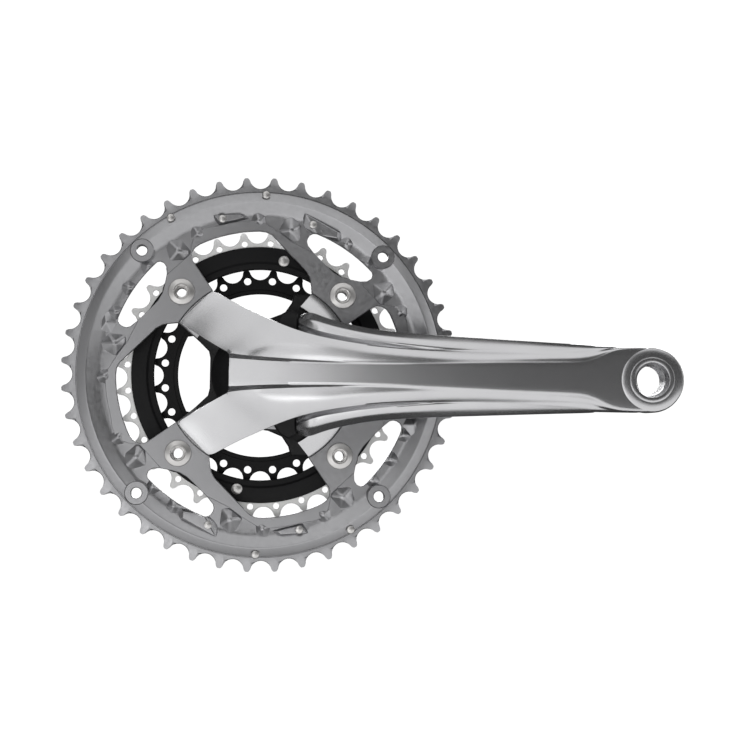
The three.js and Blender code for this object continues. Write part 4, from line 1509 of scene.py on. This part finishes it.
    def painted_shade_recess(self) -> BMesh:
        """Painted shade: hub, low webs that round the windows off, and roots of the spider's arms, all in
        black where the same forging's deep walls lie in shade.

        Returns:
            The closed solid.
        """
        left = [(-12, 0), (-12, -20), (-20, -24), (-31, -19.8), (-27, -16), (-23.6, -11.5), (-22.6, -7)]
        left = left + [(x, -y) for x, y in left[:0:-1]]
        right = [
            (2, 18), (20, 18), (30, 30), (22, 37), (14.5, 37), (13.5, 33), (10.4, 28.4), (4, 25.8), (2, 25.6)
        ]
        lower = [(x, -y) for x, y in reversed(right)]
        knee = [(6, 22.8), (16.4, 18.5), (16.4, 27.6), (13, 29.5), (9, 27.4)]
        solids = [slab(outline, HUB_BACK + 1.5, 57.6, 0.5) for outline in (left, right, lower)]
        solids += [
            slab(outline, SPIDER_BACK, 66.2, 0.8) for outline in (knee, [(x, -y) for x, y in reversed(knee)])
        ]
        for bolt in ARM_ANGLES:
            root = slab([(8, -9.4), (36, -9.8), (36, 9.8), (8, 9.4)], SPIDER_BACK, 57.8, 0.4)
            turn = Matrix.Rotation(math.radians(bolt), 3, "Z")
            bmesh.ops.rotate(root, verts=root.verts, cent=(0, 0, 0), matrix=turn)
            solids.append(root)
        body = combine(self.hub(), solids, Boolean.FUSE)
        mouth = [(self.bore + 0.6, 40), (self.bore + 0.6, HUB_BACK + 0.3)]
        tools = [turned([(0, 40), *mouth, (self.bore, HUB_BACK + 0.9), (self.bore, 70.6), (0, 70.6)], 96)]
        tools += [self.drill(bolt) for bolt in ARM_ANGLES]
        return combine(body, [gather(tools)], Boolean.CARVE)

    @staticmethod
    def drill(bolt: float) -> BMesh:
        """Tool for the blind hole of an inner ring's bolt."""
        profile = [(0, 40), (INNER_BOLT_HOLE, 40), (INNER_BOLT_HOLE, 51.5), (0, 51.5)]
        return turned(profile, 40, polar(INNER_BOLT_RADIUS, bolt))

    def build(self) -> BMesh:
        """Gathers the forging, its eye and the drilled ends of the spider.

        Returns:
            The solids in one mesh.
        """
        pocket = turned([(0, 60), (10.55, 60), (10.55, 95), (0, 95)], 96, (CRANK_LENGTH, 0))
        solids = [combine(self.forging(), [pocket], Boolean.CARVE, Solver.CAREFUL), self.eye()]
        low, high = INNER_Z + TOOTH_HALF + 0.3, SPIDER_BACK + 2
        side = self.lug_radius
        lug_profile = [(0, low), (side - 0.4, low), (side, low + 0.4), (side, high), (0, high)]
        for bolt in ARM_ANGLES:
            lug = turned(lug_profile, 64, polar(INNER_BOLT_RADIUS, bolt))
            leg = combine(self.spider_arm(bolt), [lug], Boolean.FUSE)
            hole = cutter(circle(polar(BOLT_RADIUS, bolt), BOLT_HOLE, 48), SPIDER_BACK, SPIDER_FRONT, 0.3)
            solids.append(combine(leg, [hole, self.drill(bolt)], Boolean.CARVE))
        return gather(solids)


# ---- Turned pieces -------------------------------------------------------------------------------
def chainring_bolt(centre: Point) -> BMesh:
    """Hollow bolt with a low round head and a hexagonal socket.

    Args:
        centre: Where it stands.

    Returns:
        The closed solid.
    """
    seat = OUTER_FRONT + 0.3
    blank = turned(
        [
            (2.2, CARRIER_BACK + 1.2),
            (2.4, CARRIER_BACK + 1),
            (3.7, CARRIER_BACK + 1),
            (4, CARRIER_BACK + 1.3),
            (4, seat),
            (5.9, seat),
            (6, seat + 0.1),
            (6, seat + 0.6),
            (5.75, seat + 0.9),
            (3.9, seat + 1.5),
            (3.5, seat + 1.45),
            (3.25, seat + 1.0),
            (2.2, seat + 0.7),
        ],
        72,
        centre,
    )
    socket = slab(circle(centre, 3.15, 6), seat - 2.6, seat + 4)
    return combine(blank, [socket], Boolean.CARVE)


def sleeve_nut(centre: Point) -> BMesh:
    """Flanged sleeve that a chainring bolt screws into.

    Args:
        centre: Where it stands.

    Returns:
        The closed solid.
    """
    seat = CARRIER_BACK - 0.3
    return turned(
        [
            (4.3, seat - 1.1),
            (4.5, seat - 1.3),
            (6.3, seat - 1.3),
            (6.6, seat - 1.0),
            (6.6, seat),
            (5, seat),
            (5, OUTER_FRONT - 1.2),
            (4.8, OUTER_FRONT - 1),
            (4.3, OUTER_FRONT - 1),
        ],
        72,
        centre,
    )


def inner_ring_bolt(centre: Point) -> BMesh:
    """Socket-head bolt that holds the inner ring from behind.

    Args:
        centre: Where it stands.

    Returns:
        The closed solid.
    """
    face = INNER_Z - 1.3
    blank = turned(
        [
            (0, face + 10.5),
            (3.6, face + 10.5),
            (3.9, face + 10.2),
            (3.9, face),
            (6, face),
            (6, face - 0.9),
            (5.7, face - 1.2),
            (3.2, face - 1.2),
            (2.9, face - 0.9),
            (0, face - 0.9),
        ],
        64,
        centre,
    )
    socket = slab(circle(centre, 2.85, 6), face - 3, face + 2.5)
    return combine(blank, [socket], Boolean.CARVE)


def shift_pin(centre: Point, seat: float, head: float, back: float) -> BMesh:
    """Rivet with a low domed head outboard and a stepped nose inboard.

    Args:
        centre: Where it stands.
        seat: Height of the face under its head.
        head: Radius of the head.
        back: Height of the plate's back face.

    Returns:
        The closed solid.
    """
    top = seat + 0.3
    return turned(
        [
            (0, top + 0.7),
            (head * 0.5, top + 0.64),
            (head * 0.85, top + 0.42),
            (head, top + 0.1),
            (head, top),
            (1.25, top),
            (1.25, back - 0.3),
            (2.1, back - 0.3),
            (2.1, back - 1.5),
            (1.7, back - 1.75),
            (0, back - 1.9),
        ],
        48,
        centre,
    )


class Side(Enum):
    """Side of the bottom bracket: its name, its sign outboard and its shell face."""

    RIGHT = ("right", 1, RIGHT_FACE)
    LEFT = ("left", -1, LEFT_FACE)

    def turn(self, profile: Sequence[Point], steps: int = 120) -> BMesh:
        """Spins a profile whose heights are measured outwards from the side's shell face."""
        _, sign, face = self.value
        return turned([(radius, sign * (face + height)) for radius, height in profile], steps)


@dataclass
class BottomBracket:
    """Threaded cups with their bearings, seals and dust tube, and the hollow axle that turns in them."""

    flange: float = 8.2
    barrel: float = 14.0
    middle: float = 4.35
    balls: int = 10
    groove: float = 1.95
    notches: int = 12
    notch_circle: float = 22.9
    splines: int = 14

    def cup(self, side: Side) -> BMesh:
        """Cup with a threaded barrel and twelve wrench notches.

        Args:
            side: Side that it screws into.

        Returns:
            The closed solid.
        """
        thread = []
        for turn in range(12):
            height = -self.barrel + 0.9 + turn * 1.058
            thread += [(16.75, height), (17.3, height + 0.45), (17.3, height + 0.6)]
        body = side.turn(
            [
                (15, -self.barrel),
                (16.6, -self.barrel),
                *thread,
                (16.9, -0.6),
                (16.9, 0),
                (21.7, 0),
                (22, 0.3),
                (22, self.flange - 0.6),
                (21.4, self.flange),
                (19.2, self.flange),
                (18.8, self.flange - 0.4),
                (18.8, 0.9),
                (15, 0.9),
            ]
        )
        _, sign, face = side.value
        low, high = sorted((sign * (face + 1.5), sign * (face + self.flange + 1)))
        notches = []
        for k in range(self.notches):
            place = polar(self.notch_circle, (k + 0.5) * 360 / self.notches)
            notches.append(slab(circle(place, 2.4, 28), low, high))
        return combine(body, [gather(notches)], Boolean.CARVE)

    def groove_point(self, angle: float, way: int) -> Point:
        """Point of a race's ball groove, outwards or, for a way of -1, inwards of the balls."""
        along, up = polar(self.groove, angle)
        return BALL_CIRCLE + way * along, self.middle + up

    def outer_race(self, side: Side) -> BMesh:
        """Outer ring of the bearing, with its ball groove.

        Args:
            side: Side of the bearing.

        Returns:
            The closed solid.
        """
        groove = [self.groove_point(angle, 1) for angle in (50, 25, 0, -25, -50)]
        return side.turn([(18.5, 1.4), (18.5, 7.3), (18.3, 7.5), (17, 7.5), *groove, (17, 1.2), (18.3, 1.2)])

    def inner_race(self, side: Side) -> BMesh:
        """Inner ring of the bearing, with its ball groove.

        Args:
            side: Side of the bearing.

        Returns:
            The closed solid.
        """
        groove = [self.groove_point(angle, -1) for angle in (-50, -25, 0, 25, 50)]
        return side.turn(
            [(13.1, 7.3), (13.1, 1.4), (13.3, 1.2), (14.5, 1.2), *groove, (14.5, 7.5), (13.3, 7.5)]
        )

    def ball_cage(self, side: Side) -> BMesh:
        """Ring of balls held by a thin cage.

        Args:
            side: Side of the bearing.

        Returns:
            The closed solid.
        """
        _, sign, face = side.value
        height = sign * (face + self.middle)
        inner, outer, low, high = BALL_CIRCLE - 0.45, BALL_CIRCLE + 0.45, height - 0.7, height + 0.7
        cage = turned([(inner, low), (outer, low), (outer, high), (inner, high)], 120)
        balls = []
        for k in range(self.balls):
            ball = bmesh.new()
            place = Matrix.Translation((*polar(BALL_CIRCLE, k * 360 / self.balls), height))
            bmesh.ops.create_uvsphere(ball, u_segments=32, v_segments=20, radius=BALL_RADIUS, matrix=place)
            balls.append(ball)
        return combine(cage, [gather(balls)], Boolean.FUSE)

    def seal(self, side: Side) -> BMesh:
        """Rubber face seal with a shallow groove.

        Args:
            side: Side of the bearing.

        Returns:
            The closed solid.
        """
        return side.turn(
            [
                (13.1, 7.8), (18.5, 7.8), (18.5, 8.1), (17.4, 8.1), (17.1, 7.95), (14.8, 7.95), (14.5, 8.1),
                (13.1, 8.1)
            ]
        )

    def bush(self, side: Side) -> BMesh:
        """Plastic bush with a wide lip outside the cup.

        Args:
            side: Side of the bearing.

        Returns:
            The closed solid.
        """
        return side.turn(
            [
                (12.3, 1.2), (12.8, 1.2), (12.8, 8.5), (17.3, 8.5), (17.5, 8.7), (17.3, 9.0), (12.5, 9.0),
                (12.3, 8.8)
            ]
        )

    def o_ring(self, side: Side) -> BMesh:
        """Rubber ring between the dust tube and the cup's barrel."""
        height = -self.barrel + 5
        return side.turn([(14.3 + x, height + y) for x, y in circle((0, 0), 0.39, 16)])

    def dust_tube(self) -> BMesh:
        """Thin tube between the cups, ribbed for stiffness.

        Returns:
            The closed solid.
        """
        ribs = []
        for k in range(9):
            z = -14 + 3.6 * k
            ribs += [(13.6, z), (13.75, z + 0.4), (13.75, z + 1.0), (13.6, z + 1.4)]
        right = RIGHT_FACE - self.barrel + 10
        left = -(LEFT_FACE - self.barrel + 10)
        near = [(12.9, left + 0.2), (13.0, left), (13.6, left)]
        far = [(13.6, right), (13.0, right), (12.9, right - 0.2)]
        return turned([*near, *ribs, *far], 120)

    def spacer(self) -> BMesh:
        """Flat ring between the drive-side cup and the shell."""
        return turned([(17.6, 36.5), (21.8, 36.5), (22, 36.7), (22, 38.5), (21.8, 38.7), (17.6, 38.7)], 120)

    def axle(self) -> BMesh:
        """Hollow axle with a splined left end and a pinch groove.

        Returns:
            The closed solid.
        """
        tube = turned(
            [
                (9.8, -68.5),
                (10.3, -69),
                (AXLE_RADIUS - 0.4, -69),
                (AXLE_RADIUS, -68.6),
                (AXLE_RADIUS, -46.5),
                (AXLE_RADIUS - 0.2, -46.3),
                (AXLE_RADIUS - 0.2, -45.6),
                (AXLE_RADIUS, -45.4),
                (AXLE_RADIUS, 69.9),
                (AXLE_RADIUS - 0.4, 70.3),
                (10.2, 70.3),
                (9.8, 69.9),
            ],
            120,
        )
        grooves = []
        for k in range(self.splines):
            place = polar(AXLE_RADIUS + 0.15, k * 360 / self.splines)
            grooves.append(slab(circle(place, 1.05, 20), -70, -46.4))
        return combine(tube, [gather(grooves)], Boolean.CARVE)


# ---- Assembly ------------------------------------------------------------------------------------
class Body(Enum):
    """Bodies of the frame."""

    FIXED = "bottom_bracket"
    CRANK = "crank"
    RIGHT_BALLS = "right_balls"
    LEFT_BALLS = "left_balls"


@dataclass
class Drivetrain:
    """Puts every piece of the crankset together."""

    shop: PaintShop

    def add(self, bm: BMesh, node: str, slot: Slot, body: Body, crease: float = 30) -> None:
        """Delivers a piece that stands for one node."""
        deliver(bm, f"{node}_piece", slot, body.value, [node], self.shop, crease)

    def rings(self) -> None:
        """Builds the three chainrings."""
        middle = MiddleRing()
        self.add(OuterRing().build(), "outer_chainring", Slot.RING_ALLOY, Body.CRANK, 24)
        self.add(middle.band(), "middle_chainring_teeth", Slot.TOOTH_STEEL, Body.CRANK)
        self.add(middle.carrier(), "middle_chainring_carrier", Slot.COMPOSITE, Body.CRANK)
        self.add(InnerRing().build(), "inner_chainring", Slot.BLACK_STEEL, Body.CRANK)

    def fasteners(self) -> None:
        """Builds the bolts and nuts."""
        for k, bolt in enumerate(ARM_ANGLES, 1):
            place = polar(BOLT_RADIUS, bolt)
            self.add(chainring_bolt(place), f"chainring_bolt_{k}", Slot.BRIGHT_STEEL, Body.CRANK)
            self.add(sleeve_nut(place), f"chainring_nut_{k}", Slot.BRIGHT_STEEL, Body.CRANK)
            back = inner_ring_bolt(polar(INNER_BOLT_RADIUS, bolt))
            self.add(back, f"inner_ring_bolt_{k}", Slot.BLACK_STEEL, Body.CRANK)

    def pins(self) -> None:
        """Builds the rivets of the outer and middle rings, and the pin behind the arm."""
        rivets = [(f"shift_pin_{k}", 1.9) for k in range(1, 9)]
        rivets += [(f"middle_ring_pin_{k}", 2.5) for k in (1, 2)]
        for name, head in rivets:
            centre, front, back = self.pin_place(name)
            self.add(shift_pin(centre, front - 1.0, head, back + 1.9), name, Slot.BRIGHT_STEEL, Body.CRANK)
        centre, front, back = self.pin_place("chain_drop_pin")
        tip = [(0, front), (1.3, front), (1.9, front - 0.6)]
        foot = [(1.9, 61.65), (1.25, 61.65), (1.25, back), (0, back)]
        self.add(turned([*tip, *foot], 48, centre), "chain_drop_pin", Slot.BRIGHT_STEEL, Body.CRANK)

    @staticmethod
    def pin_place(name: str) -> tuple[Point, float, float]:
        """Place of a pin in the frame, face on.

        Args:
            name: Its node.

        Returns:
            Its centre, and the heights of its front and back.
        """
        low, high = (Vector((c.x, c.z, -c.y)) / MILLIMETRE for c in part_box(name))
        centre = ((low.x + high.x) / 2, (low.y + high.y) / 2)
        return centre, max(low.z, high.z), min(low.z, high.z)

    def bearings(self) -> None:
        """Builds the axle and the bottom bracket."""
        bracket = BottomBracket()
        self.add(bracket.axle(), "axle", Slot.BRIGHT_STEEL, Body.CRANK)
        for side, balls in ((Side.RIGHT, Body.RIGHT_BALLS), (Side.LEFT, Body.LEFT_BALLS)):
            name = side.value[0]
            self.add(bracket.cup(side), f"{name}_cup", Slot.BLACK_ALLOY, Body.FIXED)
            self.add(bracket.outer_race(side), f"{name}_outer_race", Slot.BRIGHT_STEEL, Body.FIXED)
            self.add(bracket.inner_race(side), f"{name}_inner_race", Slot.BRIGHT_STEEL, Body.CRANK)
            self.add(bracket.ball_cage(side), f"{name}_ball_cage", Slot.BRIGHT_STEEL, balls)
            self.add(bracket.seal(side), f"{name}_bearing_seal", Slot.RUBBER, Body.FIXED)
            self.add(bracket.bush(side), f"{name}_bush", Slot.COMPOSITE, Body.CRANK)
            self.add(bracket.o_ring(side), f"{name}_o_ring", Slot.RUBBER, Body.FIXED)
        self.add(bracket.dust_tube(), "dust_tube", Slot.COMPOSITE, Body.FIXED)
        self.add(bracket.spacer(), "cup_spacer", Slot.COMPOSITE, Body.FIXED)

    def build(self) -> None:
        """Builds everything."""
        self.rings()
        arm = CrankArm()
        self.add(arm.build(), "right_crank_arm", Slot.ARM_ALLOY, Body.CRANK, 35)
        # Painted shade: the black hub, webs and spider roots stand in for the shaded deep walls of the arm's
        # own forging.
        deliver(
            arm.painted_shade_recess(), "hub_painted_shade_piece", Slot.BLACK_ALLOY, Body.CRANK.value, ["right_crank_arm"],
            self.shop
        )
        self.fasteners()
        self.pins()
        self.bearings()


# ---- Studio --------------------------------------------------------------------------------------
@dataclass(frozen=True)
class Softbox:
    """Area light that faces the crank."""

    name: str
    place: tuple[float, float, float]
    size: Point
    power: float
    aim: tuple[float, float, float] = (0.04, 0.0, 0.0)

    def light(self) -> None:
        """Hangs the light."""
        data = bpy.data.lights.new(self.name, "AREA")
        data.shape = "RECTANGLE"
        data.size, data.size_y = self.size
        data.energy = self.power
        lamp = bpy.data.objects.new(self.name, data)
        lamp.location = self.place
        lamp.rotation_euler = (Vector(self.aim) - Vector(self.place)).to_track_quat("-Z", "Y").to_euler()
        bpy.context.scene.collection.objects.link(lamp)


@dataclass
class Studio:
    """Pale seamless floor and backdrop, soft lights and the camera."""

    camera_place: tuple[float, float, float] = (-12.6, -29.9, 808.0)
    yaw: float = 4.96
    pitch: float = 2.33
    roll: float = 1.015
    lens: float = 78.6
    floor_z: float = -0.33
    sky_strength: float = 0.06
    lights: tuple[Softbox, ...] = (
        Softbox("left softbox", (-1.1, -0.8, 0.0), (1.0, 1.2), 1.4),
        Softbox("front softbox", (-0.29, -1.15, 0.1), (0.34, 1.1), 1.5),
        Softbox("top softbox", (0.05, -0.9, 1.1), (2.4, 1.1), 8.5),
        Softbox("floor softbox", (0.05, -0.55, -0.35), (1.8, 0.6), 3.6),
        Softbox("right softbox", (1.3, -0.5, 0.2), (0.5, 1.0), 2.6),
        Softbox("back softbox", (0.2, 1.5, 0.9), (2.2, 1.6), 60),
    )

    def camera(self) -> None:
        """Stands the camera in front of the crank."""
        data = bpy.data.cameras.new("camera")
        data.lens = self.lens
        data.sensor_width = 36
        data.clip_start = 0.01
        view = bpy.data.objects.new("camera", data)
        view.location = FACE_ON @ Vector(self.camera_place)
        yaw, pitch = math.radians(self.yaw), math.radians(self.pitch)
        ahead = Vector((math.sin(yaw) * math.cos(pitch), math.cos(yaw) * math.cos(pitch), math.sin(pitch)))
        lean = Quaternion((0, 0, 1), math.radians(self.roll))
        view.rotation_mode = "QUATERNION"
        view.rotation_quaternion = ahead.to_track_quat("-Z", "Y") @ lean
        bpy.context.scene.collection.objects.link(view)
        bpy.context.scene.camera = view

    def paper(self) -> bpy.types.Material:
        """Matt white paper that glows a little, so that it has no shadows of its own.

        Returns:
            The material.
        """
        made = bpy.data.materials.new("backdrop paper")
        made.use_nodes = True
        shader = made.node_tree.nodes["Principled BSDF"]
        shader.inputs["Base Color"].default_value = (0.9, 0.9, 0.9, 1)
        shader.inputs["Roughness"].default_value = 0.9
        shader.inputs["Emission Color"].default_value = (1, 1, 1, 1)
        shader.inputs["Emission Strength"].default_value = 0.95
        return made

    def sweep(self) -> None:
        """Rolls the paper out: a round floor that curves up into a backdrop all round."""
        reach, curve, rise, steps = 2.3, 0.6, 3.0, 12
        bend = [k * math.pi / 2 / steps for k in range(steps + 1)]
        profile = [(0.0, 0.0), *[(reach + curve * math.sin(a), curve * (1 - math.cos(a))) for a in bend]]
        profile.append((reach + curve, rise))
        bm = bmesh.new()
        verts = [bm.verts.new((x, 0, self.floor_z + z)) for x, z in profile]
        edges = [bm.edges.new(pair) for pair in zip(verts, verts[1:])]
        bmesh.ops.spin(
            bm, geom=verts + edges, cent=(0, 0, 0), axis=(0, 0, 1), angle=math.tau, steps=96, use_merge=True
        )
        bmesh.ops.remove_doubles(bm, verts=bm.verts, dist=1e-4)
        bmesh.ops.recalc_face_normals(bm, faces=bm.faces)
        mesh = bpy.data.meshes.new("floor")
        bm.to_mesh(mesh)
        bm.free()
        mesh.shade_smooth()
        mesh.materials.append(self.paper())
        floor = bpy.data.objects.new("floor", mesh)
        bpy.context.scene.collection.objects.link(floor)
        floor.visible_glossy = False
        floor.visible_diffuse = False
        floor.visible_shadow = False

    def build(self) -> None:
        """Sets up the camera, paper, lights and surroundings."""
        self.camera()
        self.sweep()
        for box in self.lights:
            box.light()
        world = bpy.data.worlds.new("studio")
        world.use_nodes = True
        sky = world.node_tree.nodes["Background"]
        sky.inputs["Color"].default_value = (1, 1, 1, 1)
        sky.inputs["Strength"].default_value = self.sky_strength
        bpy.context.scene.world = world
        bpy.context.scene.view_settings.view_transform = "Standard"


def main() -> None:
    """Builds the crankset and its studio round the frame."""
    logging.basicConfig(level=logging.INFO, format="%(name)s: %(message)s")
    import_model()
    Studio().build()
    Drivetrain(PaintShop()).build()


if __name__ == "__main__":
    main()
